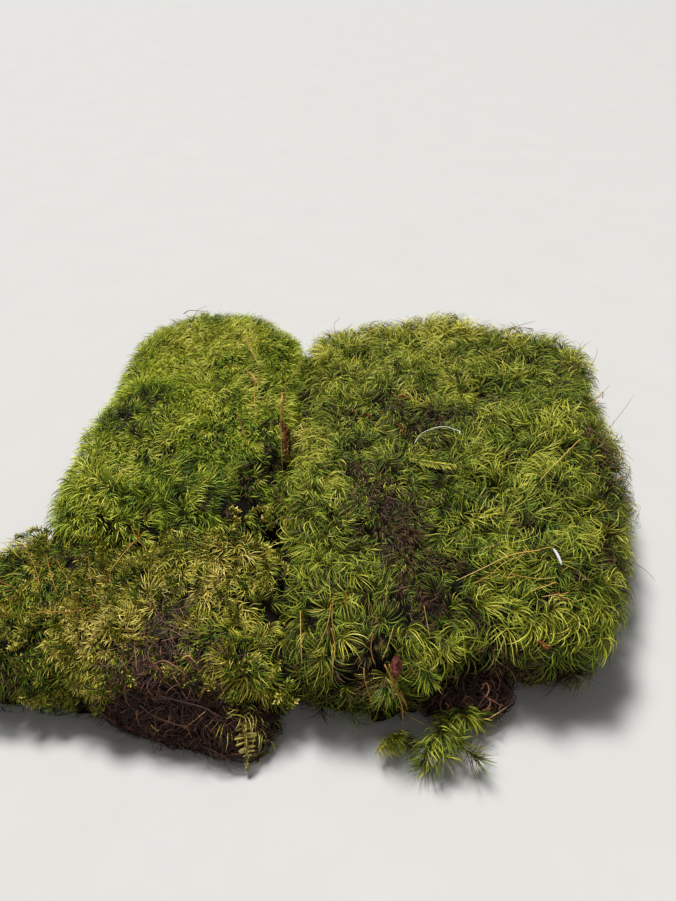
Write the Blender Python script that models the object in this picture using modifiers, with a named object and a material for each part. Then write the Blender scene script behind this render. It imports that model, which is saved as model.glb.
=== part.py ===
"""A moss clump: three moss cushions grown against one another into one slab, with their
exposed root masses, the loose shoots at the front, and the litter that lies on them.

Run it with: blender --background --python part.py
Lengths are in metres. X runs to the right, Y away from the viewer, Z up. The clump rests
on Z = 0 with its plan centred on the origin. Each cushion's solid reaches its leaf tips.
"""

import math
from dataclasses import dataclass

import bmesh
import bpy
import numpy as np
from mathutils import Vector, noise
from mathutils.bvhtree import BVHTree

MM = 0.001

# Driving dimensions
RIGHT_HEIGHT = 44 * MM
BACK_LEFT_HEIGHT = 43 * MM
FRONT_LEFT_HEIGHT = 32 * MM
CLEARANCE = 0.5 * MM  # between pieces that touch
CUTTER_DEPTH = 0.5 * MM  # how far a cutter reaches below the ground
STRAW_RADIUS = 0.45 * MM
STRAW_STATIONS = 8  # points along a straw
FROND_THICKNESS = 0.7 * MM
FROND_ENDS = 0.45  # width of a frond's two ends, as a share of its widest
NOTCH_WIDTH = 0.4  # width between two vanes, as a share of the width at a vane
SCRAP_STATIONS = 5  # points along a frond or scrap that has no vanes
TUFT_EDGE = 0.4  # distance from a tuft's middle, in tuft sizes, where its relief is nought
LITTER_CLEARANCE = 0.8 * MM  # more than between solids, for the lumps between its points
PROFILE_STEPS = 200  # fineness of the curve that rings are spaced along
OUTLINE_STEPS = 12  # points between two corners of a smooth line
OUTLINE_STEP = 0.004  # share of an outline over which its direction is measured
CAST_HEIGHT = 80 * MM  # where a ray starts that looks for the surface under the litter

UP = Vector((0, 0, 1))
FRONT_AND_UP = Vector((0, -0.75, 0.66)).normalized()

MOSS_GREEN = (0.105, 0.160, 0.018)
DEEP_GREEN = (0.060, 0.125, 0.014)
OLIVE_GREEN = (0.130, 0.150, 0.025)
ROOT_BROWN = (0.045, 0.026, 0.018)
STRAW_YELLOW = (0.420, 0.260, 0.080)
FROND_YELLOW = (0.240, 0.190, 0.035)
RUSSET = (0.230, 0.060, 0.030)
PALE_FIBRE = (0.620, 0.560, 0.470)
LILAC_WHITE = (0.600, 0.480, 0.500)


@dataclass
class Mound:
    """A cushion, root mass or shoot: a rounded body over a closed outline, flat below."""

    name: str
    outline: list  # plan points of its widest line, anticlockwise, in millimetres
    height: float
    colour: tuple
    belly: float = 0.36  # height of the widest line, as a share of the height
    foot: float = 0.94  # plan size of the flat underside, as a share of the outline
    squareness: float = 4.2  # 2 is a dome, and more is a flatter top with steeper sides
    crown: float = 3 * MM  # how much the top rises towards its middle
    slope: tuple = (0.0, 0.0)  # rise of the top per metre along X and Y
    tuft_size: float = 15 * MM
    tuft_relief: float = 5 * MM
    swell_size: float = 55 * MM
    swell_relief: float = 5 * MM
    pits: tuple = ()  # (x, y, radius, depth) in millimetres
    rings: int = 12
    seed: float = 0.0


@dataclass
class Straw:
    """A straw, needle, twig or fibre that lies on the clump."""

    name: str
    route: list  # points along it, in millimetres
    radius: float = STRAW_RADIUS
    colour: tuple = STRAW_YELLOW
    lean: Vector = UP  # out of the surface that it lies on


@dataclass
class Frond:
    """A flat frond or scrap that lies on the clump, toothed where it has vanes."""

    name: str
    route: list  # its midline, in millimetres
    half_width: float
    colour: tuple
    vanes: int = 0
    curl: float = 0.0  # how far the edges stand up
    lean: Vector = UP

    @property
    def stations(self):
        return 2 * self.vanes + 1 if self.vanes else SCRAP_STATIONS


RIGHT_CUSHION = Mound(
    name="moss_cushion_right",
    outline=[
        (131, 46), (137, 74), (134, 95), (118, 107), (92, 116), (58, 122), (26, 117),
        (4, 107), (-7, 91), (-9, 60), (-12, 26), (-14, -16), (-13, -55), (-12, -86),
        (-4, -98), (14, -101), (32, -98), (46, -89), (60, -87), (76, -90), (92, -85),
        (104, -72), (115, -50), (122, -24), (127, 12),
    ],
    height=RIGHT_HEIGHT,
    colour=MOSS_GREEN,
    pits=((76, 36, 9, 9), (50, 34, 9, 4), (100, 70, 8, 4)),
    tuft_relief=7 * MM,
    rings=17,
    seed=1.7,
)
BACK_LEFT_CUSHION = Mound(
    name="moss_cushion_back_left",
    outline=[
        (-7, 30), (-6, 60), (-6, 90), (-14, 110), (-30, 123), (-50, 130), (-70, 128),
        (-86, 117), (-95, 99), (-98, 75), (-98, 50), (-101, 25), (-104, 0),
        (-105, -28), (-94, -44), (-70, -50), (-44, -49), (-22, -38), (-13, -20), (-10, 4),
    ],
    height=BACK_LEFT_HEIGHT,
    colour=DEEP_GREEN,
    squareness=3.3,
    tuft_size=17 * MM,
    tuft_relief=5 * MM,
    pits=((-92, 50, 9, 3),),
    rings=12,
    seed=5.3,
)
FRONT_LEFT_CUSHION = Mound(
    name="moss_cushion_front_left",
    outline=[
        (-4, -64), (-8, -44), (-18, -29), (-30, -26), (-48, -33), (-68, -36), (-90, -31),
        (-110, -29), (-126, -36), (-135, -52), (-136, -69), (-128, -84), (-112, -92),
        (-90, -94), (-70, -96), (-48, -97), (-26, -99), (-10, -98), (-3, -88),
    ],
    height=FRONT_LEFT_HEIGHT,
    colour=OLIVE_GREEN,
    belly=0.34,
    squareness=3.4,
    slope=(0.04, 0.03),
    tuft_size=14 * MM,
    tuft_relief=6 * MM,
    rings=12,
    seed=9.1,
)
FRONT_ROOTS = Mound(
    name="root_mass_front_left",
    outline=[
        (-16, -91), (-30, -80), (-44, -74), (-61, -75), (-72, -81), (-74, -90),
        (-66, -98), (-54, -102), (-38, -106), (-26, -109), (-16, -105), (-8, -98),
    ],
    height=22 * MM,
    colour=ROOT_BROWN,
    belly=0.28,
    foot=0.90,
    squareness=2.4,
    slope=(-0.12, 0.12),
    tuft_size=8 * MM,
    tuft_relief=4 * MM,
    swell_size=20 * MM,
    swell_relief=3 * MM,
    rings=8,
    seed=13.9,
)
RIGHT_ROOTS = Mound(
    name="root_mass_right",
    outline=[
        (66, -86), (60, -78), (48, -76), (36, -81), (34, -91), (43, -97), (54, -98),
        (62, -94),
    ],
    height=13 * MM,
    colour=ROOT_BROWN,
    belly=0.35,
    foot=0.85,
    squareness=2.4,
    crown=1 * MM,
    tuft_size=7 * MM,
    tuft_relief=2 * MM,
    swell_size=15 * MM,
    swell_relief=1.5 * MM,
    rings=6,
    seed=17.2,
)
LARGE_SHOOT = Mound(
    name="loose_shoot_large",
    outline=[
        (56, -97), (50, -93), (41, -93), (34, -98), (29, -103), (27, -109), (33, -111),
        (33, -116), (40, -117), (45, -112), (51, -115), (55, -109), (60, -105),
    ],
    height=11 * MM,
    colour=MOSS_GREEN,
    belly=0.3,
    foot=0.86,
    squareness=2.0,
    crown=2 * MM,
    slope=(0.0, 0.2),
    tuft_size=6 * MM,
    tuft_relief=2 * MM,
    swell_size=14 * MM,
    swell_relief=1 * MM,
    rings=6,
    seed=21.5,
)
SMALL_SHOOT = Mound(
    name="loose_shoot_small",
    outline=[
        (31, -102), (27, -98), (20, -99), (16, -104), (16, -110), (22, -109), (28, -111),
        (31, -106),
    ],
    height=6 * MM,
    colour=MOSS_GREEN,
    belly=0.3,
    foot=0.86,
    squareness=2.0,
    crown=1 * MM,
    tuft_size=5 * MM,
    tuft_relief=1 * MM,
    swell_size=14 * MM,
    swell_relief=0.5 * MM,
    rings=4,
    seed=25.1,
)
STRAWS = [
    Straw("straw_right_long", [(46, -67, 0), (56, -63, 0), (66, -59, 0), (76, -59, 0)]),
    Straw("straw_right_low", [(69, -72, 0), (74, -70, 0), (78, -69, 0)]),
    Straw("straw_right_short", [(72, -73.5, 0), (76, -73, 0), (81, -72, 0)], radius=0.4 * MM),
    Straw("straw_right_slanting", [(80, -28, 0), (92, -14, 0), (103, -1, 0)]),
    Straw("straw_right_far", [(113, 24, 0), (122, 36, 0), (130, 47, 0)]),
    Straw("twig_right_back", [(94, 96, 0), (108, 98, 0)], colour=RUSSET),
    Straw(
        "straw_back_left_long",
        [(-36, 55, 0), (-32, 49, 0), (-29, 43, 0), (-28, 29, 0), (-26, 17, 0)],
    ),
    Straw("straw_back_left_short", [(-38, 81, 0), (-33, 67, 0), (-28, 54, 0)]),
    Straw("twig_between_cushions", [(-15, 46, 0), (-16, 18, 0), (-14, -8, 0)], colour=RUSSET),
    Straw("twig_back_left", [(-74, 114, 0), (-60, 110, 0)], colour=RUSSET),
    Straw("straw_front_left_edge", [(-91, -75, 0), (-87, -75, 0), (-77, -75, 0), (-72, -73, 0)]),
    Straw("straw_front_left_upright", [(-93, -51, 0), (-88, -61, 0), (-83, -69, 0)]),
    Straw("straw_front_left_middle", [(-64, -46, 0), (-65, -54, 0), (-68, -61, 0)]),
    Straw("straw_front_edge", [(-4, -75, 0), (-3.5, -85, 0), (-3, -92, 0)]),
    Straw(
        "straw_front_long",
        [(21, -86, 27), (24, -87.5, 20), (27.4, -91.5, 11), (28, -94, 8), (28.6, -97.3, 4)],
        lean=FRONT_AND_UP,
    ),
    Straw(
        "straw_front_fork",
        [(26.3, -89.3, 18), (28.5, -91, 12), (29.4, -92.7, 9)],
        lean=FRONT_AND_UP,
    ),
    Straw(
        "pale_fibre",
        [(38, -2, 0), (41, 3, 0), (47, 6, 0), (53, 6, 0), (57, 3, 0)],
        colour=PALE_FIBRE,
    ),
]
FRONDS = [
    Frond(
        "feather_frond",
        [(-21, -99, 11), (-20, -105, 6), (-20, -112, 1)],
        half_width=4 * MM,
        colour=FROND_YELLOW,
        vanes=7,
        lean=FRONT_AND_UP,
    ),
    Frond(
        "surface_frond",
        [(34, -13, 0), (44, -16, 0), (54, -18, 0)],
        half_width=3.5 * MM,
        colour=FROND_YELLOW,
        vanes=6,
    ),
    Frond(
        "dry_leaf",
        [(25.6, -85.4, 28), (25.3, -86.3, 24), (24.9, -88, 21)],
        half_width=1.9 * MM,
        colour=RUSSET,
        curl=1 * MM,
        lean=FRONT_AND_UP,
    ),
    Frond(
        "pale_scrap",
        [(78, -58, 0), (80, -64, 0)],
        half_width=1.2 * MM,
        colour=LILAC_WHITE,
        curl=0.5 * MM,
    ),
]


def clear_scene():
    for obj in list(bpy.data.objects):
        bpy.data.objects.remove(obj)


def new_collection(name, hidden=False):
    collection = bpy.data.collections.new(name)
    collection.hide_render = hidden
    bpy.context.scene.collection.children.link(collection)
    return collection


def surface_material(name, colour, roughness=0.9):
    material = bpy.data.materials.new(name)
    material.use_nodes = True
    shader = material.node_tree.nodes["Principled BSDF"]
    shader.inputs["Base Color"].default_value = (*colour, 1.0)
    shader.inputs["Roughness"].default_value = roughness
    shader.inputs["Metallic"].default_value = 0.0
    return material


def smooth_line(corners):
    """Points on the smooth curve (Catmull-Rom) from the second corner to the last but one."""
    line = []
    for before, here, after, beyond in zip(corners, corners[1:], corners[2:], corners[3:]):
        for t in np.arange(OUTLINE_STEPS) / OUTLINE_STEPS:
            linear = (after - before) * t
            square = (2 * before - 5 * here + 4 * after - beyond) * t**2
            cube = (3 * here - before - 3 * after + beyond) * t**3
            line.append(0.5 * (2 * here + linear + square + cube))
    return np.array([*line, corners[-2]])


def travelled(line):
    """The distance along the line at each of its points."""
    return np.concatenate([[0], np.cumsum(np.linalg.norm(np.diff(line, axis=0), axis=1))])


class Outline:
    """The closed smooth curve through plan points, followed by its share of the way round."""

    def __init__(self, points):
        corners = np.array(points, float) * MM
        line = smooth_line(np.concatenate([corners[-1:], corners, corners[:2]]))
        self.way = travelled(line) / travelled(line)[-1]
        self.line = line
        self.centre = (line.min(axis=0) + line.max(axis=0)) / 2
        self.mean_reach = float(np.linalg.norm(line - self.centre, axis=1).mean())

    def at(self, way):
        return np.array([np.interp(way % 1, self.way, along) for along in self.line.T])

    def outward(self, way):
        ahead = self.at(way + OUTLINE_STEP) - self.at(way - OUTLINE_STEP)
        return np.array([ahead[1], -ahead[0]]) / np.linalg.norm(ahead)


def side_profile(mound, mean_reach):
    """(plan share, height share) of each ring, from the middle of the top to the foot."""
    turn = np.linspace(0, math.pi / 2, PROFILE_STEPS)
    power = 2 / mound.squareness
    over_share = np.sin(turn) ** power
    over_level = mound.belly + (1 - mound.belly) * np.cos(turn).clip(0) ** power
    under_share = mound.foot + (1 - mound.foot) * np.cos(turn)
    under_level = mound.belly * (1 - np.sin(turn))
    share = np.concatenate([over_share, under_share[1:]])
    level = np.concatenate([over_level, under_level[1:]])
    way = travelled(np.stack([share * mean_reach, level * mound.height], axis=1))
    stations = np.linspace(0, way[-1], mound.rings + 1)
    shares = np.interp(stations, way, share)
    levels = np.interp(stations, way, level)
    return list(zip(shares.tolist(), levels.tolist()))


def way_round(x, y):
    """A grid point's share of the way round its square ring."""
    if abs(x) >= abs(y):
        eighths = y / x + (4 if x < 0 else 0)
    else:
        eighths = 2 - x / y + (4 if y < 0 else 0)
    return eighths / 8 % 1


def relief_at(point, mound):
    """How far tufts, swells and pits move the smooth surface out at a point."""
    offset = Vector((mound.seed, -mound.seed, 2 * mound.seed))
    nearest = noise.voronoi(point / mound.tuft_size + offset)[0][0]
    swell = noise.noise(point / mound.swell_size + offset)
    relief = mound.tuft_relief * (TUFT_EDGE - nearest) + mound.swell_relief * swell
    for x, y, radius, depth in mound.pits:
        apart = math.hypot(point.x - x * MM, point.y - y * MM) / (radius * MM)
        relief -= depth * MM * math.exp(-(apart**2))
    return relief


def split_towards_corners(bm):
    """Splits the grid's squares on the diagonals that point from its middle to its corners.

    A mound and its cutter then have the same edges, which keeps the clearance even.
    """
    middles = [(face, face.calc_center_median()) for face in bm.faces]
    rising = [face for face, middle in middles if middle.x * middle.y > 0]
    falling = [face for face, middle in middles if middle.x * middle.y < 0]
    bmesh.ops.triangulate(bm, faces=rising, quad_method="FIXED")
    bmesh.ops.triangulate(bm, faces=falling, quad_method="ALTERNATE")


def mound_mesh(mound, swell=0.0, ground=0.0):
    """The mound's mesh: a grid whose square rings are moved to the profile and outline.

    A cutter is the same shape, larger by swell, with its foot sunk to ground.
    """
    outline = Outline(mound.outline)
    profile = side_profile(mound, outline.mean_reach)
    shoulder = mound.height - mound.crown

    bm = bmesh.new()
    cells = 2 * mound.rings
    bmesh.ops.create_grid(bm, x_segments=cells, y_segments=cells, size=1)
    split_towards_corners(bm)
    for vert in bm.verts:
        x, y = vert.co.x, vert.co.y
        ring = round(max(abs(x), abs(y)) * mound.rings)
        share, level = profile[ring]
        way = way_round(x, y) if ring else 0.0
        arm = Vector((*((outline.at(way) - outline.centre) * share), 0))
        rise = mound.crown * (1 - share**2) + arm.x * mound.slope[0] + arm.y * mound.slope[1]
        smooth = Vector((*outline.centre, 0)) + arm + UP * (level * (shoulder + rise))
        upward = max(0.0, (level - mound.belly) / (1 - mound.belly))
        out = Vector((*outline.outward(way), 0)) if share > 0 else Vector()
        facing = (out * (1 - upward**2) + UP * upward).normalized()
        lift = relief_at(smooth, mound) * min(1.0, level / mound.belly) + swell
        vert.co = smooth + facing * lift
        if ring == mound.rings:
            vert.co.z = ground
    rim = [edge for edge in bm.edges if edge.is_boundary]
    bmesh.ops.holes_fill(bm, edges=rim, sides=len(rim))
    bmesh.ops.recalc_face_normals(bm, faces=bm.faces)
    bmesh.ops.triangulate(bm, faces=bm.faces[:])
    mesh = bpy.data.meshes.new(mound.name)
    bm.to_mesh(mesh)
    bm.free()
    mesh.shade_smooth()
    return mesh


def add_piece(name, data, colour, collection):
    piece = bpy.data.objects.new(name, data)
    data.materials.append(surface_material(name, colour))
    collection.objects.link(piece)
    return piece


def add_mound(mound, neighbours, parts, cutters):
    """Adds a mound, cut back by a clearance wherever one of its neighbours stands."""
    piece = add_piece(mound.name, mound_mesh(mound), mound.colour, parts)
    for neighbour in neighbours:
        cut = piece.modifiers.new(f"meet_{neighbour.name}", "BOOLEAN")
        cut.operation = "DIFFERENCE"
        cut.object = cutter_for(neighbour, cutters)


def cutter_for(mound, cutters):
    name = f"{mound.name}_cutter"
    cutter = bpy.data.objects.get(name)
    if cutter is None:
        mesh = mound_mesh(mound, swell=CLEARANCE, ground=-CUTTER_DEPTH)
        cutter = bpy.data.objects.new(name, mesh)
        cutter.hide_render = True
        cutter.display_type = "WIRE"
        cutters.objects.link(cutter)
    return cutter


def surfaces_of(collection):
    """A tree of each piece built so far, for finding the surface that litter lies on."""
    bpy.context.view_layer.update()
    graph = bpy.context.evaluated_depsgraph_get()
    return [BVHTree.FromObject(piece, graph) for piece in collection.objects]


def surface_under(point, lean, surfaces, room):
    """How far the clump's surface, or else the ground, lies from a point along lean.

    The highest spot within the room that the litter needs on each side counts.
    """
    across = lean.orthogonal().normalized() * room
    along = lean.cross(across)
    highest = -CAST_HEIGHT
    for offset in (Vector(), across, -across, along, -along):
        start = point + offset + lean * CAST_HEIGHT
        fall = start.z / lean.z
        for surface in surfaces:
            distance = surface.ray_cast(start, -lean)[3]
            if distance is not None:
                fall = min(fall, distance)
        highest = max(highest, CAST_HEIGHT - fall)
    return highest


def along_route(route, stations):
    """Evenly spaced points on the smooth curve through the route's points."""
    corners = np.array(route, float) * MM
    line = smooth_line(np.concatenate([corners[:1], corners, corners[-1:]]))
    way = travelled(line)
    wanted = np.linspace(0, way[-1], stations)
    return [Vector(place) for place in np.stack([np.interp(wanted, way, c) for c in line.T], 1)]


def bridged(heights):
    """The least heights at which a stiff straw clears all of the given ones."""
    count = len(heights)
    lifted = list(heights)
    for first in range(count):
        for last in range(first + 1, count):
            for i in range(first, last + 1):
                t = (i - first) / (last - first)
                lifted[i] = max(lifted[i], heights[first] * (1 - t) + heights[last] * t)
    return lifted


def add_straw(straw, surfaces, parts):
    points = along_route(straw.route, STRAW_STATIONS)
    room = straw.radius + LITTER_CLEARANCE
    heights = bridged([surface_under(p, straw.lean, surfaces, room) for p in points])
    curve = bpy.data.curves.new(straw.name, "CURVE")
    curve.dimensions = "3D"
    curve.bevel_depth = straw.radius
    curve.bevel_resolution = 1
    curve.use_fill_caps = True
    spline = curve.splines.new("POLY")
    spline.points.add(STRAW_STATIONS - 1)
    for spot, point, height in zip(spline.points, points, heights):
        spot.co = (*(point + straw.lean * (height + room)), 1)
    add_piece(straw.name, curve, straw.colour, parts)


def frond_width(frond, index):
    """Half the frond's width at a station: narrow at both ends, and toothed by its vanes."""
    bulge = math.sin(math.pi * index / (frond.stations - 1))
    width = frond.half_width * (FROND_ENDS + (1 - FROND_ENDS) * bulge)
    notched = frond.vanes and index % 2 == 0
    return width * NOTCH_WIDTH if notched else width


def add_frond(frond, surfaces, parts):
    """A sheet of three lines of points laid on the surface, made solid with Solidify."""
    middle = along_route(frond.route, frond.stations)
    lines = []
    for offset in (-1, 0, 1):
        line = []
        for index, point in enumerate(middle):
            ahead = middle[min(index + 1, frond.stations - 1)] - middle[max(index - 1, 0)]
            side = ahead.cross(frond.lean).normalized() * frond_width(frond, index)
            line.append(point + side * offset)
        room = LITTER_CLEARANCE
        heights = bridged([surface_under(p, frond.lean, surfaces, room) for p in line])
        stand = room + frond.curl * abs(offset)
        lines.append([p + frond.lean * (h + stand) for p, h in zip(line, heights)])
    bm = bmesh.new()
    rows = [[bm.verts.new(place) for place in row] for row in zip(*lines)]
    for row, following in zip(rows, rows[1:]):
        for i in range(2):
            bm.faces.new((row[i], row[i + 1], following[i + 1], following[i]))
    mesh = bpy.data.meshes.new(frond.name)
    bm.to_mesh(mesh)
    bm.free()
    piece = add_piece(frond.name, mesh, frond.colour, parts)
    solid = piece.modifiers.new("thickness", "SOLIDIFY")
    solid.thickness = FROND_THICKNESS
    solid.offset = 1


def centre_on_origin(parts):
    """Parents every object to an empty that brings the middle of the plan to the origin."""
    bpy.context.view_layer.update()
    graph = bpy.context.evaluated_depsgraph_get()
    lowest, highest = [], []
    for piece in parts.objects:
        solid = piece.evaluated_get(graph)
        plan = np.array([vert.co[:2] for vert in solid.to_mesh().vertices])
        solid.to_mesh_clear()
        lowest.append(plan.min(axis=0))
        highest.append(plan.max(axis=0))
    middle = (np.min(lowest, axis=0) + np.max(highest, axis=0)) / 2
    children = list(bpy.data.objects)
    origin = bpy.data.objects.new("clump_origin", None)
    origin.location = (-middle[0], -middle[1], 0)
    for child in children:
        child.parent = origin
    bpy.context.scene.collection.objects.link(origin)


def main():
    clear_scene()
    parts = new_collection("moss_clump")
    cutters = new_collection("cutters", hidden=True)
    add_mound(FRONT_ROOTS, [], parts, cutters)
    add_mound(RIGHT_ROOTS, [], parts, cutters)
    add_mound(RIGHT_CUSHION, [RIGHT_ROOTS], parts, cutters)
    add_mound(BACK_LEFT_CUSHION, [RIGHT_CUSHION], parts, cutters)
    below_front_left = [RIGHT_CUSHION, BACK_LEFT_CUSHION, FRONT_ROOTS]
    add_mound(FRONT_LEFT_CUSHION, below_front_left, parts, cutters)
    add_mound(LARGE_SHOOT, [RIGHT_CUSHION, RIGHT_ROOTS], parts, cutters)
    add_mound(SMALL_SHOOT, [RIGHT_CUSHION, LARGE_SHOOT], parts, cutters)
    surfaces = surfaces_of(parts)
    for straw in STRAWS:
        add_straw(straw, surfaces, parts)
    for frond in FRONDS:
        add_frond(frond, surfaces, parts)
    centre_on_origin(parts)


main()
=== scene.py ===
"""The looks of the moss clump: its leaves, roots and litter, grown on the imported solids.

Every leaf, root hair and straw is mesh. The leaves of a cushion stand in place of the
cushion's solid and reach its surface. Lengths are in metres, +Z is up.
"""

import math
from dataclasses import dataclass, field

import bpy
import numpy as np
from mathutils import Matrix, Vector, noise
from mathutils.bvhtree import BVHTree


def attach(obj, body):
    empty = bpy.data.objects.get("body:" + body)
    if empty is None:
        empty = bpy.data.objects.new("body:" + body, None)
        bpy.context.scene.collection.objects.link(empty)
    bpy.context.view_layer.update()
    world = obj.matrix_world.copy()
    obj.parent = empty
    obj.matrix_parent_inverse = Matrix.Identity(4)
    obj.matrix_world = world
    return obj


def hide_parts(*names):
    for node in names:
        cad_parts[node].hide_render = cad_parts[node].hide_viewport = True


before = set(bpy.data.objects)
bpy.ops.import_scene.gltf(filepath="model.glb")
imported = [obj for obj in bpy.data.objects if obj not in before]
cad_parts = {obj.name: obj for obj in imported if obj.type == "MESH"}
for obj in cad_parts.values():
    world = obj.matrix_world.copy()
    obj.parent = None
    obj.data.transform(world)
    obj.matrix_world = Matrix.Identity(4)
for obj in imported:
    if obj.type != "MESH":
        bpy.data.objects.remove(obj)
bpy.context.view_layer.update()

MM = 0.001
SEED = 4117
SEED_STEPS = (3.7, -1.9, 7.3)  # how far each seed moves the noise
NOISE_GAIN = 1.6  # brings the noise to about -1 to 1
GOLDEN_ANGLE = math.pi * (3 - math.sqrt(5))
FULL_TURN = 2 * math.pi
TINY = 1e-12
UP = np.array([0.0, 0.0, 1.0])

# The camera stands where the photo's camera stood. Photo pixels count from its top left.
PHOTO_WIDTH, PHOTO_HEIGHT = 676, 901
FOCAL_PIXELS = 675
SENSOR = 36
CAMERA_PLACE = np.array([7.9, -214.2, 210.0]) * MM
CAMERA_PITCH = math.radians(40)

PALETTE_MAP = "OFBake"  # across: along the leaf, up: its tone
PALETTE_RIM = 0.02  # strands stay this far inside the map
TONE_WIDTH = 0.004  # half of a strand's width in the map

OVERSAMPLE = 6  # points to choose from for each shoot
EVENNESS = 0.86  # the least distance between shoots, as a share of their mean spacing
STEEPEST = -0.75  # no shoots where the normal points further down than this
LOWEST_SHOOT = 1.0 * MM
MOST_BARE = 0.85  # share of the shoots that patches may take away
PATCH_STRENGTH = 0.75  # how much of a patch's tone its leaves take on
DARKEST, BRIGHTEST = -0.34, 0.3  # the most that patches change a tone
FLOOR_GAP = 0.15 * MM  # least height of a leaf above the floor
CREVICE_ROOM = 3.5 * MM  # no shoots where a neighbour stands closer than this
CREVICE_REACH = 14 * MM  # the bed isn't sunk where a neighbour stands close, up to here
LOOK_START, LOOK_REACH = 0.1 * MM, 1.0  # where a look out for neighbours starts and ends
BED_VOXEL = 3.5 * MM
BED_DEPTH = 8.5 * MM  # how far the dark bed lies below the leaf tips
BED_LUMPS = 5 * MM
BED_FOOT = 1.5 * MM  # the bed is flat below this height
BED_UNDERSIDE = 0.5 * MM  # how high its flat part lies
BED_GAP = 0.4 * MM  # least height of the bed above the floor
ROOT_DEPTH = 1.8 * MM  # how far the peat lies below the root hairs
FEATHER_LEVEL = 12 * MM  # no feathery sprigs below this
FEATHER_LEFT = -110 * MM  # nor further left than this
STEM_RADIUS = 0.3 * MM
HIGH_LEAVES = 96  # the percentile of a shoot's leaf heights that is set to the surface
LONG_UP_TO, SHORT_FROM = 0.55, 0.45  # the brown patches' hold where each fork moss grows
STALK_SINK = 0.1 * MM  # how far the litter settles into the leaf tips
STALK_TAPER = [0, 1], [1, 0.5]
PRESSED_REACH, PRESSED_DEPTH = 4 * MM, 2.2 * MM  # where flat pieces lie on the shoots

RIGHT, BACK_LEFT, FRONT_LEFT = CUSHIONS = [
    "moss_cushion_right", "moss_cushion_back_left", "moss_cushion_front_left",
]
MOUNDS = CUSHIONS + [
    "root_mass_front_left", "root_mass_right", "loose_shoot_large", "loose_shoot_small",
]


@dataclass
class Habit:
    """How a kind of moss carries its leaves round the top of a shoot, lengths in millimetres."""

    spacing: float  # between shoots
    leaves: int  # on one shoot
    length: float
    width: float
    opening: tuple  # degrees from the shoot's axis at a leaf's foot: innermost, outermost
    droop: tuple  # degrees from the axis at its tip: innermost, outermost
    sweep: float  # 0 is all round the shoot, 1 is all to one side
    curl: float  # how far the tips turn on past that side, in radians
    stem: float  # length of stem that the leaves are spread over
    segments: int  # along one leaf
    sink: tuple = (-0.6, 1.4)  # of its highest leaves below the surface, None on loose stems
    rosettes: float = 0.0  # how far the sweep drops in some shoots, as a share


# Each row: spacing, leaves, length, width, opening, droop, sweep, curl, stem, segments, sink,
# rosettes.
FORK_MOSS = Habit(4.9, 36, 11.0, 0.28, (12, 62), (88, 134), 0.88, 1.25, 3.0, 5, (-0.9, 2.2), 0.5)
SHORT_MOSS = Habit(3.1, 17, 6.6, 0.25, (12, 62), (90, 140), 0.85, 1.3, 2.0, 5)
FINE_MOSS = Habit(3.1, 20, 6.8, 0.28, (10, 55), (60, 115), 0.8, 0.4, 2.2, 4)
ARCHED_MOSS = Habit(3.6, 26, 7.8, 0.29, (8, 55), (70, 125), 0.7, 0.8, 2.6, 4)
SOFT_MOSS = Habit(3.3, 20, 8.0, 0.32, (8, 50), (60, 115), 0.75, 0.4, 2.4, 4)
MAT_MOSS = Habit(2.4, 22, 4.0, 0.28, (10, 70), (45, 112), 0.5, 0.5, 2.6, 3)
LOOSE_MOSS = Habit(0.55, 8, 11.5, 0.29, (12, 48), (78, 138), 0.74, 0.45, 1.0, 6, None)
FEATHER_MOSS = Habit(0.6, 4, 2.0, 0.5, (40, 55), (60, 80), 0.15, 0.2, 0.4, 2, None)
SCALE_MOSS = Habit(0.45, 4, 1.5, 0.6, (18, 30), (22, 45), 0.0, 0.0, 0.3, 2, None)
ROUND_MOSS = Habit(0.9, 4, 2.0, 0.95, (35, 60), (70, 100), 0.0, 0.0, 0.6, 3, None)


@dataclass
class Patch:
    """A spot where the moss differs: its middle as a photo pixel, and its reach."""

    x: int
    y: int
    reach: float  # millimetres
    tone: float = 0.0  # added to the tone of its leaves
    bare: float = 0.0  # share of its shoots that is missing


def table(kind, *rows):
    """An object of that kind for each row of its values."""
    return [kind(*row) for row in rows]


# Darker, barer spots: mostly the brown streak, the moss's own colour; those low at the front are
# painted shade under the overhang.
BROWN_AND_SHADE_PATCHES = table(
    Patch,
    (356, 456, 10, -0.18, 0.06), (380, 482, 13, -0.34, 0.12), (402, 512, 11, -0.32, 0.14),
    (388, 548, 10, -0.30, 0.12), (402, 588, 10, -0.30, 0.14), (424, 606, 8, -0.32, 0.12),
    (344, 508, 7, -0.18, 0.06), (446, 408, 10, -0.24, 0.08), (416, 410, 8, -0.20, 0.05),
    (358, 420, 7, -0.12, 0.05), (388, 402, 7, -0.18, 0.05), (420, 380, 8, -0.12, 0.05),
    (448, 366, 6, -0.12, 0.05), (494, 402, 8, -0.36, 0.18), (476, 414, 8, -0.16, 0.05),
    (425, 440, 10, -0.20, 0.05), (610, 470, 12, -0.14, 0.04), (628, 560, 11, -0.22, 0.07),
    (505, 668, 8, -0.12, 0.05), (388, 650, 10, -0.16, 0.07), (360, 690, 8, -0.08, 0.05),
    (436, 560, 10, -0.22, 0.06), (372, 520, 11, -0.20, 0.06),
)
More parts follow.
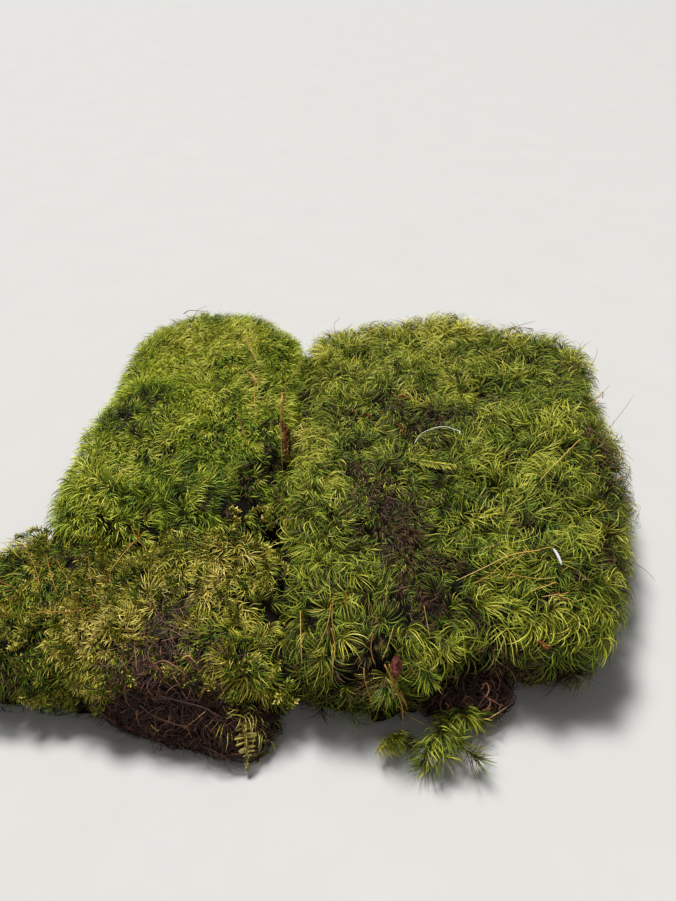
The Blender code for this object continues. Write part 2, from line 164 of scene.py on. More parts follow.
# Darker, barer spots along the edges: painted shade where the sides and the front turn away from
# the light, and gaps that show the dark bed; at the right edge also the reddish-brown stems' own
# colour.
SHADED_EDGE_PATCHES = table(
    Patch,
    (330, 650, 14, -0.08, 0.12), (345, 692, 12, -0.06, 0.25), (384, 688, 12, -0.08, 0.30),
    (620, 574, 9, -0.26, 0.30), (545, 385, 12, -0.12), (465, 628, 8, -0.18),
    (525, 595, 8, -0.12), (290, 655, 9, -0.24), (448, 668, 4, -0.20, 0.75),
    (466, 672, 4, -0.20, 0.80), (484, 672, 4, -0.20, 0.80), (502, 668, 5, -0.30, 0.55),
    (522, 672, 5, -0.40, 0.25), (545, 672, 5, -0.36, 0.15), (610, 440, 6, -0.34, 0.25),
    (620, 468, 7, -0.40, 0.30), (631, 500, 7, -0.40, 0.30), (637, 540, 6, -0.34, 0.25),
)
# Brighter spots: painted light on the tops and flanks that face the key light.
LIT_PATCHES = table(
    Patch,
    (365, 330, 16, 0.16), (430, 322, 18, 0.20), (500, 330, 18, 0.18), (345, 352, 9, 0.24),
    (346, 386, 8, 0.18), (316, 388, 9, 0.30), (305, 372, 10, 0.14), (300, 430, 9, 0.16),
    (465, 505, 9, 0.14), (560, 644, 11, 0.14), (465, 384, 8, 0.18), (436, 352, 9, 0.14),
    (432, 660, 7, 0.16), (312, 470, 7, 0.12), (316, 445, 8, 0.18), (316, 535, 9, 0.16),
)
# Darker, barer spots here are painted shade in the hollows, the crease and at the cushion's foot;
# brighter spots are painted light on its top.
BACK_LEFT_PATCHES = table(
    Patch,
    (118, 408, 8, -0.30, 0.40), (138, 390, 8, -0.28, 0.30), (148, 452, 5, -0.26, 0.35),
    (166, 418, 5, -0.18, 0.20), (275, 440, 6, -0.40, 0.32), (268, 418, 5, -0.30, 0.10),
    (272, 458, 7, -0.40, 0.30), (262, 470, 7, -0.36, 0.16), (262, 486, 8, -0.32, 0.25),
    (240, 508, 6, -0.40, 0.85), (263, 512, 6, -0.40, 0.85), (225, 500, 7, -0.26, 0.25),
    (92, 500, 12, 0.10), (172, 502, 12, -0.12), (86, 462, 8, 0.10), (142, 530, 5, -0.16),
    (196, 526, 7, -0.22), (165, 350, 16, 0.24), (205, 325, 16, 0.26), (240, 335, 12, 0.22),
    (190, 368, 16, 0.16), (245, 365, 12, 0.14), (105, 475, 8, 0.16), (205, 465, 11, -0.14),
    (240, 470, 9, -0.22), (180, 395, 7, -0.12),
)
# Darker, barer spots here are painted shade in hollows, gaps and along the low front edge;
# brighter spots are painted light.
FRONT_LEFT_PATCHES = table(
    Patch,
    (64, 555, 8, -0.40, 0.50), (168, 600, 5, -0.26, 0.30), (162, 625, 5, -0.30, 0.40),
    (150, 650, 7, -0.36, 0.50), (120, 655, 6, -0.20, 0.25), (222, 637, 4, -0.40, 0.80),
    (243, 650, 4, -0.40, 0.80), (185, 575, 6, -0.20, 0.25), (45, 590, 7, -0.10, 0.10),
    (110, 610, 8, 0.10), (85, 640, 8, 0.08), (215, 657, 4, 0.22), (250, 735, 6, 0.18),
    (255, 715, 7, 0.18), (12, 565, 8, -0.16), (14, 690, 8, -0.22), (75, 690, 8, -0.16),
    (136, 541, 6, -0.20), (196, 539, 5, -0.16), (282, 655, 9, -0.26),
    (198, 656, 6, -0.26, 0.25), (182, 560, 8, 0.14), (226, 543, 8, 0.30),
    (136, 620, 8, 0.24), (98, 628, 9, 0.12), (72, 652, 8, 0.10), (168, 572, 4, -0.14, 0.10),
    (176, 590, 4, -0.36, 0.20), (134, 690, 6, -0.30, 0.30), (30, 670, 14, -0.10),
    (268, 522, 5, -0.36, 0.80), (245, 524, 5, -0.36, 0.80), (228, 518, 4, -0.30, 0.50),
)


# ---- vectors and fields


def unit(vectors):
    return vectors / np.maximum(np.linalg.norm(vectors, axis=-1, keepdims=True), TINY)


def smooth(share):
    share = np.clip(share, 0, 1)
    return share * share * (3 - 2 * share)


def along(directions, normals):
    """The part of each direction that runs along the surface."""
    return directions - (directions * normals).sum(-1, keepdims=True) * normals


def spread_out(points, apart, rng):
    """Which points to keep so that no two of them stand closer than apart."""
    cells, kept = {}, []
    reach = range(-1, 2)
    around = [(i, j, k) for i in reach for j in reach for k in reach]
    homes = np.floor(points / apart).astype(int).tolist()
    spots = points.tolist()
    for index in rng.permutation(len(points)).tolist():
        x, y, z = homes[index]
        spot = spots[index]
        near = (cells.get((x + i, y + j, z + k)) for i, j, k in around)
        if all(other is None or math.dist(spot, other) >= apart for other in near):
            cells[(x, y, z)] = spot
            kept.append(index)
    return np.array(kept)


def curve_through(points, steps=6):
    """A smooth line through points, with that many steps from each one to the next."""
    points = np.asarray(points)
    ends = 2 * points[:1] - points[1:2], 2 * points[-1:] - points[-2:-1]
    padded = np.concatenate([ends[0], points, ends[1]])
    t = (np.arange(steps) / steps)[:, None]
    line = []
    for a, b, c, d in zip(padded, padded[1:], padded[2:], padded[3:]):
        bend = (2 * a - 5 * b + 4 * c - d) * t**2 + (3 * b - a - 3 * c + d) * t**3
        line.append(b + ((c - a) * t + bend) / 2)
    return np.concatenate(line + [points[-1:]])


def field_at(points, size, seed):
    """Smooth noise from about -1 to 1, whose lumps are size across."""
    offset = Vector([seed * step for step in SEED_STEPS])
    return np.array([noise.noise(Vector(point) / size + offset) for point in points]) * NOISE_GAIN


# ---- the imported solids


def triples(items, name, kind=float):
    """The three values that each of a mesh's items has under a name."""
    values = np.zeros(len(items) * 3, kind)
    items.foreach_get(name, values)
    return values.reshape(-1, 3)


class Skin:
    """A solid's surface as arrays, with smooth normals and a tree for finding places on it."""

    def __init__(self, name):
        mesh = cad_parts[name].data
        mesh.calc_loop_triangles()
        corners = triples(mesh.vertices, "co").round(6)
        places, same = np.unique(corners, axis=0, return_inverse=True)
        self.corners = places
        self.faces = same.reshape(-1)[triples(mesh.loop_triangles, "vertices", int)]
        a, b, c = (places[self.faces[:, i]] for i in range(3))
        turned = np.cross(b - a, c - a)
        self.areas = np.linalg.norm(turned, axis=1) / 2
        evened = self.at_corners(turned)[self.faces].sum(axis=1) * self.areas[:, None]
        self.normals = self.at_corners(evened)
        self.tree = BVHTree.FromPolygons(places.tolist(), self.faces.tolist())

    def at_corners(self, values):
        """Face values gathered at the corners, as unit vectors."""
        total = np.zeros_like(self.corners)
        for i in range(3):
            np.add.at(total, self.faces[:, i], values)
        return unit(total)

    def scatter(self, count, rng):
        """Points spread evenly over the surface, and the normals there."""
        way = np.cumsum(self.areas)
        chosen = np.searchsorted(way, (np.arange(count) + rng.random(count)) / count * way[-1])
        chosen = self.faces[np.minimum(chosen, len(self.faces) - 1)]
        first, second = np.sqrt(rng.random(count)), rng.random(count)
        shares = np.stack([1 - first, first * (1 - second), first * second], axis=1)
        points = (self.corners[chosen] * shares[:, :, None]).sum(axis=1)
        normals = unit((self.normals[chosen] * shares[:, :, None]).sum(axis=1))
        return points, normals

    def nearest(self, points):
        """The surface's nearest place to each point, and the normals there."""
        hits = [self.tree.find_nearest(Vector(point)) for point in points]
        return np.array([hit[0] for hit in hits]), np.array([hit[1] for hit in hits])


SKINS = {name: Skin(name) for name in MOUNDS}


def open_room(points, normals, own):
    """How far each point can look out along its normal before it meets a neighbour."""
    room = np.full(len(points), LOOK_REACH)
    for index, (point, normal) in enumerate(zip(points, normals)):
        start = Vector(point + normal * LOOK_START)
        for name, skin in SKINS.items():
            if name != own:
                distance = skin.tree.ray_cast(start, Vector(normal), room[index])[3]
                if distance is not None:
                    room[index] = distance
    return room


def ray_through(pixel):
    """The way a pixel looks, one long along the camera's axis."""
    across = (pixel[0] - PHOTO_WIDTH / 2) / FOCAL_PIXELS
    down = (pixel[1] - PHOTO_HEIGHT / 2) / FOCAL_PIXELS
    ahead = np.array([0, math.cos(CAMERA_PITCH), -math.sin(CAMERA_PITCH)])
    over = np.array([0, math.sin(CAMERA_PITCH), math.cos(CAMERA_PITCH)])
    return ahead + np.array([across, 0, 0]) - over * down


def seen_at(pixel):
    """The place on the clump, or on the floor beside it, that the photo shows at a pixel."""
    ray = Vector(ray_through(pixel))
    start = Vector(CAMERA_PLACE)
    found = [skin.tree.ray_cast(start, ray) for skin in SKINS.values()]
    hits = [hit for hit in found if hit[0] is not None]
    if not hits:
        return np.array(start - ray * (start.z / ray.z))
    return np.array(min(hits, key=lambda hit: hit[3])[0])


def seen_line(pixels, nearer, hung=False):
    """A smooth line over what the photo shows, that much nearer to the camera.

    A hung line starts on the clump and goes on as far from the camera as there.
    """
    pixels = np.reshape(pixels, (-1, 2))
    if hung:
        foot = seen_at(pixels[0]) - CAMERA_PLACE
        rays = np.array([ray_through(pixel) for pixel in pixels])
        places = CAMERA_PLACE + rays * (foot @ rays[0] / (rays[0] @ rays[0]))
    else:
        places = np.array([seen_at(pixel) for pixel in pixels])
    return curve_through(places + unit(CAMERA_PLACE - places) * nearer)


def spine(name, toward=(0, -1, 0), stations=7):
    """The middle line of a long thin solid, and its axes from the longest to the thinnest."""
    corners = triples(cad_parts[name].data.vertices, "co")
    middle = corners.mean(axis=0)
    axes = np.linalg.svd(corners - middle, full_matrices=False)[2]
    axes[0] *= 1 if axes[0] @ toward > 0 else -1
    axes[2] *= 1 if axes[2, 2] > 0 else -1
    axes[1] = np.cross(axes[2], axes[0])
    reach = (corners - middle) @ axes[0]
    edges = np.linspace(reach.min(), reach.max(), stations + 1)
    group = np.clip(np.searchsorted(edges, reach, side="right") - 1, 0, stations - 1)
    line = [corners[group == i].mean(axis=0) for i in range(stations) if (group == i).any()]
    return np.array(line), axes


def patch_shares(points, patches):
    """Each patch's hold on each point, from 0 to 1."""
    shares = []
    for patch in patches:
        apart = np.linalg.norm(points - seen_at((patch.x, patch.y)), axis=1)
        shares.append(np.exp(-((apart / (patch.reach * MM)) ** 2)))
    return np.array(shares)


def in_patches(points, patches):
    """How firmly each point lies in some patch."""
    return patch_shares(points, patches).max(axis=0)


# ---- strands


def add_object(name, data):
    made = bpy.data.objects.new(name, data)
    bpy.context.scene.collection.objects.link(made)
    return made


def finish_piece(name, mesh, material, node=None):
    """A piece of the clump, which stands for a node if one is named."""
    mesh.shade_smooth()
    mesh.materials.append(material)
    piece = add_object(name, mesh)
    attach(piece, "root")
    if node:
        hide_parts(node)


@dataclass
class Strands:
    """Leaves, hairs and stalks gathered for one mesh, with each point's palette place."""

    points: list = field(default_factory=list)
    faces: list = field(default_factory=list)
    palette: list = field(default_factory=list)
    count: int = 0

    def add(self, points, faces, palette):
        self.points.append(points)
        self.faces.append(faces + self.count)
        self.palette.append(palette)
        self.count += len(points)

    def add_ribbons(self, middle, side, tones):
        """Pointed strips along middle (strips, stations, 3), of half width side."""
        strips, stations = middle.shape[:2]
        pairs = np.stack([middle - side, middle + side], axis=2)[:, :-1]
        points = np.concatenate([pairs.reshape(strips, -1, 3), middle[:, -1:]], axis=1)
        tip = 2 * (stations - 1)
        template = [(tip - 2, tip - 1, tip)]
        for foot in range(0, tip - 2, 2):
            template += [(foot, foot + 1, foot + 3), (foot, foot + 3, foot + 2)]
        faces = np.array(template)[None] + np.arange(strips)[:, None, None] * (tip + 1)
        reach = np.linspace(PALETTE_RIM, 1 - PALETTE_RIM, stations)
        across = np.append(np.repeat(reach[:-1], 2), reach[-1])
        lift = np.append(np.tile([-TONE_WIDTH, TONE_WIDTH], stations - 1), 0)
        tones = np.clip(tones, PALETTE_RIM, 1 - PALETTE_RIM)
        palette = np.stack(np.broadcast_arrays(across[None], tones[:, None] + lift), axis=2)
        self.add(points.reshape(-1, 3), faces.reshape(-1, 3), palette.reshape(-1, 2))

    def add_tube(self, line, radius, taper, tone, sides=5):
        """A closed round stalk along a line, whose radius changes by taper from end to end."""
        stations = len(line)
        radii = radius * np.interp(np.linspace(0, 1, stations), *taper)
        ahead = unit(np.gradient(line, axis=0))
        guide = np.array([0.31, 0.17, 0.93]) if abs(ahead[:, 2].mean()) < 0.8 else np.eye(3)[0]
        first = unit(np.cross(ahead, guide))
        second = np.cross(ahead, first)
        turn = np.arange(sides) / sides * FULL_TURN
        spokes = first[:, None] * np.cos(turn)[:, None] + second[:, None] * np.sin(turn)[:, None]
        rings = line[:, None] + spokes * radii[:, None, None]
        points = np.concatenate([rings.reshape(-1, 3), line[:1], line[-1:]])
        faces = []
        for ring in range(stations - 1):
            for i in range(sides):
                a, b = ring * sides + i, ring * sides + (i + 1) % sides
                faces += [(a, b, b + sides), (a, b + sides, a + sides)]
        foot, tip = stations * sides, stations * sides + 1
        for i in range(sides):
            beside = (i + 1) % sides
            faces += [(foot, beside, i), (tip, foot - sides + i, foot - sides + beside)]
        reach = np.linspace(PALETTE_RIM, 1 - PALETTE_RIM, stations)
        across = np.concatenate([np.repeat(reach, sides), reach[:1], reach[-1:]])
        lift = TONE_WIDTH * np.append(np.tile(np.cos(turn), stations), [0, 0])
        palette = np.stack([across, np.clip(tone + lift, 0, 1)], axis=1)
        self.add(points, np.array(faces), palette)

    def finish(self, name, material, node=None):
        """Makes one piece of all the strands."""
        points = np.concatenate(self.points)
        points[:, 2] = np.maximum(points[:, 2], FLOOR_GAP)
        faces = np.concatenate(self.faces)
        palette = np.concatenate(self.palette)
        mesh = bpy.data.meshes.new(name)
        mesh.from_pydata(points, [], faces)
        layer = mesh.uv_layers.new(name=PALETTE_MAP)
        layer.data.foreach_set("uv", palette[faces.ravel()].ravel())
        finish_piece(name, mesh, material, node)


# ---- materials


def linear(colour):
    """A colour given as red, green and blue on a screen, from 0 to 255, in linear light."""
    share = np.array(colour) / 255
    return (*np.where(share <= 0.04045, share / 12.92, ((share + 0.055) / 1.055) ** 2.4), 1.0)


def new_material(name, roughness):
    """A new material, its calls that make a node and a link, and its colour input."""
    material = bpy.data.materials.new(name)
    material.use_nodes = True
    tree = material.node_tree
    shader = tree.nodes["Principled BSDF"].inputs
    shader["Roughness"].default_value = roughness
    shader["Specular IOR Level"].default_value = 0.14
    return material, tree.nodes.new, tree.links.new, shader["Base Color"]


def add_ramp(new_node, positions, colours):
    ramp = new_node("ShaderNodeValToRGB")
    elements = ramp.color_ramp.elements
    for position in positions[2:]:
        elements.new(position)
    for element, position, colour in zip(elements, positions, colours):
        element.position = position
        element.color = linear(colour)
    return ramp


def strand_material(name, roughness, tones, feet, tips):
    """Colours strands by the palette map: tone picks the two colours of foot and tip."""
    material, new_node, link, base_colour = new_material(name, roughness)
    palette = new_node("ShaderNodeUVMap")
    palette.uv_map = PALETTE_MAP
    split = new_node("ShaderNodeSeparateXYZ")
    reach = new_node("ShaderNodeMapRange")
    reach.interpolation_type = "SMOOTHSTEP"
    reach.inputs["From Min"].default_value = 0.1
    reach.inputs["From Max"].default_value = 0.7
    mix = new_node("ShaderNodeMix")
    mix.data_type = "RGBA"
    link(palette.outputs["UV"], split.inputs[0])
    link(split.outputs["X"], reach.inputs["Value"])
    link(reach.outputs["Result"], mix.inputs["Factor"])
    for end, colours in (("A", feet), ("B", tips)):
        ramp = add_ramp(new_node, tones, colours)
        link(split.outputs["Y"], ramp.inputs["Fac"])
        link(ramp.outputs["Color"], mix.inputs[end])
    link(mix.outputs["Result"], base_colour)
    return material


def mottled_material(name, roughness, size, positions, colours):
    """Colours a solid by noise through a ramp."""
    material, new_node, link, base_colour = new_material(name, roughness)
    grain = new_node("ShaderNodeTexNoise")
    grain.inputs["Scale"].default_value = 1 / size
    grain.inputs["Detail"].default_value = 6
    grain.inputs["Roughness"].default_value = 0.65
    ramp = add_ramp(new_node, positions, colours)
    link(new_node("ShaderNodeTexCoord").outputs["Object"], grain.inputs["Vector"])
    link(grain.outputs["Fac"], ramp.inputs["Fac"])
    link(ramp.outputs["Color"], base_colour)
    return material


MOSS_TONES = (0.0, 0.2, 0.35, 0.5, 0.65, 0.8, 1.0)
ROOT_TONES = (0.0, 0.4, 0.7, 1.0)
THREE_TONES = (0.0, 0.5, 1.0)
# The moss palettes' foot colours are darker than their tips: painted shade deep among the leaves.
MOSS = strand_material(
    "moss_leaves", 0.55, MOSS_TONES,
    [(36, 24, 16), (46, 32, 17), (24, 34, 8), (42, 54, 12), (84, 90, 18), (138, 134, 30),
     (180, 162, 66)],
    [(96, 66, 46), (124, 100, 54), (72, 94, 22), (114, 138, 34), (168, 174, 50), (208, 202, 74),
     (238, 224, 122)],
)
FINE = strand_material(
    "fine_moss_leaves", 0.55, MOSS_TONES,
    [(36, 24, 16), (46, 32, 17), (22, 34, 8), (42, 60, 12), (94, 108, 20), (146, 152, 34),
     (188, 176, 68)],
    [(96, 66, 46), (120, 100, 50), (66, 96, 20), (104, 140, 28), (158, 178, 40), (202, 208, 64),
     (234, 226, 112)],
)
MAT = strand_material(
    "mixed_moss_leaves", 0.55, MOSS_TONES,
    [(34, 23, 16), (54, 36, 22), (26, 36, 11), (38, 55, 13), (74, 78, 22), (108, 90, 34),
     (160, 138, 70)],
    [(88, 62, 46), (130, 94, 60), (74, 96, 28), (104, 138, 34), (158, 162, 44), (202, 184, 64),
     (234, 218, 118)],
)
FROND = strand_material(
    "frond_leaves", 0.45, THREE_TONES,
    [(64, 54, 20), (104, 88, 34), (156, 128, 66)],
    [(104, 94, 36), (158, 142, 60), (210, 194, 124)],
)
ROOTS = strand_material(
    "root_hairs", 0.6, ROOT_TONES,
    [(16, 11, 12), (40, 29, 28), (84, 57, 47), (130, 96, 66)],
    [(32, 22, 21), (84, 59, 49), (150, 102, 76), (214, 178, 128)],
)
STRAW = strand_material(
    "straws", 0.45, THREE_TONES,
    [(78, 40, 24), (140, 92, 38), (196, 156, 78)],
    [(112, 62, 36), (172, 126, 56), (220, 190, 116)],
)
PALE = strand_material(
    "pale_threads", 0.45, THREE_TONES,
    [(196, 186, 196), (206, 202, 190), (240, 236, 222)],
    [(228, 218, 230), (236, 232, 222), (254, 251, 242)],
)
DRY_LEAF = strand_material(
    "dry_leaf", 0.6, THREE_TONES,
    [(44, 20, 17), (98, 48, 40), (150, 96, 82)],
    [(62, 28, 23), (126, 66, 55), (184, 132, 114)],
)
# Near black: the peat's own dark brown deepened into painted shade where it shows between leaves
# and root hairs.
PEAT_AND_SHADE = mottled_material(
    "peat", 1.0, 3 * MM, (0.3, 0.5, 0.7), [(8, 6, 5), (18, 13, 10), (30, 22, 15)]
)


# ---- cushions


def add_bed(name, node, depth):
    """The dark form under a node's leaves: the node's own, sunk but for its underside. Its
    near-black is partly peat and dead stems, partly painted shade in the gaps between the leaves.
    """
    skin = SKINS[node]
    source = bpy.data.meshes.new(name)
    source.from_pydata(skin.corners.tolist(), [], skin.faces.tolist())
    shape = add_object("shape", source)
    remesh = shape.modifiers.new("even", "REMESH")
    remesh.mode = "VOXEL"
    remesh.voxel_size = min(BED_VOXEL, depth)
    graph = bpy.context.evaluated_depsgraph_get()
    mesh = bpy.data.meshes.new_from_object(shape.evaluated_get(graph))
    bpy.data.objects.remove(shape)
    points = triples(mesh.vertices, "co")
    normals = triples(mesh.vertex_normals, "vector")
    rough = field_at(points, BED_LUMPS, 3) * MM
    clear = smooth(open_room(points, normals, node) / CREVICE_REACH)
    inset = (depth * clear + rough) * np.hypot(normals[:, 0], normals[:, 1])
    sunk = points - normals * [[1, 1, 0]] * inset[:, None]
    sunk[:, 2] *= 1 - (depth + rough) / points[:, 2].max()
    below = points[:, 2] < BED_FOOT
    sunk[below, 2] = BED_UNDERSIDE + np.abs(rough[below]) * 0.4
    sunk[:, 2] = np.maximum(sunk[:, 2], BED_GAP)
    mesh.vertices.foreach_set("co", sunk.ravel())
    mesh.update()
    finish_piece(name, mesh, PEAT_AND_SHADE, node)


@dataclass
class Shoots:
    """The tops of shoots: where they stand and how each one differs."""

    places: np.ndarray
    normals: np.ndarray
    axes: np.ndarray
    sweeps: np.ndarray
    curls: np.ndarray
    tones: np.ndarray
    sizes: np.ndarray

    def only(self, chosen):
        return Shoots(*(getattr(self, name)[chosen] for name in self.__dataclass_fields__))


def shoots_on(name, habit, patches, rng, bias, base_tone, seed):
    """Shoots all over a mound that sweep towards bias, thinner in its patches, which darken them
    to brown or with painted shade and brighten them with painted light.
    """
    skin = SKINS[name]
    spacing = habit.spacing * MM
    tries = int(OVERSAMPLE * skin.areas.sum() / spacing**2)
    places, normals = skin.scatter(tries, rng)
    kept = spread_out(places, spacing * EVENNESS, rng)
    places, normals = places[kept], normals[kept]
    upright = (normals[:, 2] > STEEPEST) & (places[:, 2] > LOWEST_SHOOT)
    places, normals = places[upright], normals[upright]
    clear = open_room(places, normals, name) > CREVICE_ROOM
    places, normals = places[clear], normals[clear]
    shares = patch_shares(places, patches)
    bare = (shares * np.array([patch.bare for patch in patches])[:, None]).sum(0)
    kept = rng.random(len(places)) >= np.clip(bare, 0, MOST_BARE)
    places, normals, shares = places[kept], normals[kept], shares[:, kept]
    change = (shares * np.array([patch.tone for patch in patches])[:, None]).sum(0)
    change = np.clip(PATCH_STRENGTH * change, DARKEST, BRIGHTEST)
    # brown: how far patches darken a shoot, counting both the brown moss and painted shade.
    brown = np.clip(change / DARKEST, 0, 1)

    def lumps(size, seed_step):
        """Noise over the shoots, whose lumps are size millimetres across."""
        return field_at(places, size * MM, seed + seed_step)

    # The leaves sweep to one side in slow swirls, and hang down where the mound is steep.
    count = len(places)
    heading = math.pi * (lumps(34, 0) * 1.5 + lumps(11, 5) * 0.5)
    over = np.stack([np.cos(heading), np.sin(heading), np.zeros(count)], axis=1)
    over[:, :2] += bias
    steep = np.sqrt(np.clip(1 - normals[:, 2:] ** 2, 0, 1))
    sweeps = unit(along(unit(over) * (1.05 - steep) - UP * steep * 1.1, normals))
    wobble = rng.normal(0, 0.16, (count, 3))
    axes = unit(normals + UP * 0.25 * steep + sweeps * 0.25 + wobble)
    # The mound darkens towards its foot: painted shade, with browner leaves near the floor. Shoots
    # that patches darken, both brown moss and painted shade, are smaller and vary more.
    level = (places[:, 2] - places[:, 2].min()) / np.ptp(places[:, 2])
    tones = (
        base_tone + change + 0.11 * lumps(26, 9) + 0.10 * lumps(9, 13)
        - 0.30 * smooth(1 - level / 0.55) - 0.20 * smooth(1 - level / 0.24)
        + rng.normal(0, 1, count) * (0.09 + 0.11 * brown)
    )
    sizes = np.clip(1 + 0.18 * lumps(20, 17), 0.7, 1.3)
    sizes *= rng.uniform(0.85, 1.12, count) * (1 - 0.3 * brown)
    curls = np.where(lumps(13, 21) > 0, 1.0, -1.0) * rng.uniform(0.5, 1.4, count)
    return Shoots(places, normals, axes, sweeps, curls, tones, sizes)


def add_leaves(strands, shoots, habit, rng):
    """Grows the leaves of every shoot: up its stem, then over to the side that it sweeps to."""
    count, leaves, steps = len(shoots.places), habit.leaves, habit.segments
    shape = (count, leaves)
    rank = np.broadcast_to((np.arange(leaves) + 0.5) / leaves, shape)
    azimuth = np.arange(leaves) * GOLDEN_ANGLE + rng.uniform(0, FULL_TURN, (count, 1))
    azimuth = (azimuth + rng.normal(0, 0.2, shape)) % FULL_TURN - math.pi
    axis = shoots.axes[:, None]
    side = unit(along(shoots.sweeps, shoots.axes))[:, None]
    other = np.cross(axis, side)

    def outward(bearing):
        return side * np.cos(bearing)[..., None] + other * np.sin(bearing)[..., None]

    start = np.radians(np.interp(rank, [0, 1], habit.opening) + rng.normal(0, 5, shape))
    end = np.radians(np.interp(rank, [0, 1], habit.droop) + rng.normal(0, 9, shape))
    curl = habit.curl * shoots.curls[:, None] + rng.normal(0, 0.15, shape)
    sweep = habit.sweep * (1 - habit.rosettes * rng.random((count, 1)) ** 1.5)
    length = habit.length * MM * shoots.sizes[:, None] * rng.uniform(0.7, 1.1, shape)
    length = length * (0.72 + 0.28 * np.sin(math.pi * np.clip(rank + 0.2, 0, 1)))
    around = outward(azimuth)
    below = (rank * (habit.stem * MM))[..., None]
    foot = shoots.places[:, None] - axis * below + around * STEM_RADIUS

    # Each leaf leans further out and turns towards its shoot's sweep as it goes on.
    line = [foot]
    for step in range(steps):
        t = (step + 0.5) / steps
        lean = start + (end - start) * t**0.8
        flat = outward(azimuth * (1 - sweep * smooth(1.2 * t)) + curl * t)
        ahead = np.cos(lean)[..., None] * axis + np.sin(lean)[..., None] * flat
        line.append(line[-1] + ahead * (length / steps)[..., None])
    middle = np.stack(line, axis=2)

    if habit.sink:
        out = ((middle - shoots.places[:, None, None]) * shoots.normals[:, None, None]).sum(-1)
        highest = np.percentile(out.reshape(count, -1), HIGH_LEAVES, axis=1)
        drop = highest + rng.uniform(habit.sink[0] * MM, habit.sink[1] * MM, count)
        middle = middle - (shoots.normals * drop[:, None])[:, None, None]

    ahead = unit(np.gradient(middle, axis=2))
    # A leaf's breadth lies across the plane it bends in, or across its stem if it is straight.
    first, last = middle[..., 1, :] - middle[..., 0, :], middle[..., -1, :] - middle[..., -2, :]
    turned = np.cross(first, last)
    flat = unit(turned / (length**2)[..., None] + 0.6 * unit(np.cross(axis, around)))
    flat = unit(along(np.broadcast_to(flat[:, :, None], ahead.shape), ahead))
    twist = rng.normal(0, 0.35, shape)[..., None, None]
    flat = flat * np.cos(twist) + np.cross(ahead, flat) * np.sin(twist)
    breadth = np.interp(np.linspace(0, 1, steps + 1), [0, 0.25, 0.6, 1], [0.75, 1, 0.7, 0.1])
    half = habit.width * MM / 2 * (0.7 + 0.3 * shoots.sizes[:, None])
    half = half * rng.uniform(0.75, 1.2, shape)
    wide = flat * (half[..., None] * breadth)[..., None]
    # Outer leaves, lower on the stem, are darker: painted shade deep in the tuft.
    tones = shoots.tones[:, None] + rng.normal(0, 0.10, shape) - 0.38 * (rank - 0.34)
    strands.add_ribbons(
        middle.reshape(-1, steps + 1, 3), wide.reshape(-1, steps + 1, 3), tones.ravel()
    )


def grow(name, shoots, habit, rng, material, node=None):
    """One piece of all the leaves of these shoots."""
    strands = Strands()
    add_leaves(strands, shoots, habit, rng)
    strands.finish(name, material, node)


def grow_rows(kind, labels, shoots, habit, rng, material, node):
    """A piece for each row of shoots, the row next to the camera first."""
    rows = np.array_split(np.argsort(shoots.places[:, 1]), len(labels))
    for label, row in zip(labels, rows):
        grow(f"{kind}_{label}", shoots.only(row), habit, rng, material, node)


def press_down(shoots, node):
    """Sinks the shoots that a flat piece lies on."""
    apart = shoots.places[:, None] - spine(node)[0][None]
    under = np.linalg.norm(apart, axis=2).min(axis=1) < PRESSED_REACH
    shoots.places -= shoots.normals * under[:, None] * PRESSED_DEPTH


def right_cushion(rng):
    """Fork moss, with smaller and browner shoots where the photo shows a brown streak."""
    patches = BROWN_AND_SHADE_PATCHES + LIT_PATCHES + SHADED_EDGE_PATCHES
    shoots = shoots_on(RIGHT, FORK_MOSS, patches, rng, (0.25, -0.45), 0.55, 2)
    shoots = shoots.only(in_patches(shoots.places, BROWN_AND_SHADE_PATCHES) < LONG_UP_TO)
    for node in ("surface_frond", "dry_leaf"):
        press_down(shoots, node)
    grow_rows("fork_moss", ("front", "middle", "back"), shoots, FORK_MOSS, rng, MOSS, RIGHT)
    short = shoots_on(RIGHT, SHORT_MOSS, patches, rng, (0.25, -0.45), 0.55, 3)
    short = short.only(in_patches(short.places, BROWN_AND_SHADE_PATCHES) > SHORT_FROM)
    press_down(short, "surface_frond")
    grow("fork_moss_brown", short, SHORT_MOSS, rng, MOSS, RIGHT)
    add_bed("fork_moss_bed", RIGHT, BED_DEPTH)


def back_left_cushion(rng):
    shoots = shoots_on(BACK_LEFT, FINE_MOSS, BACK_LEFT_PATCHES, rng, (0.5, -0.4), 0.68, 31)
    grow_rows("fine_moss", ("front", "back"), shoots, FINE_MOSS, rng, FINE, BACK_LEFT)
    add_bed("fine_moss_bed", BACK_LEFT, BED_DEPTH * 0.8)


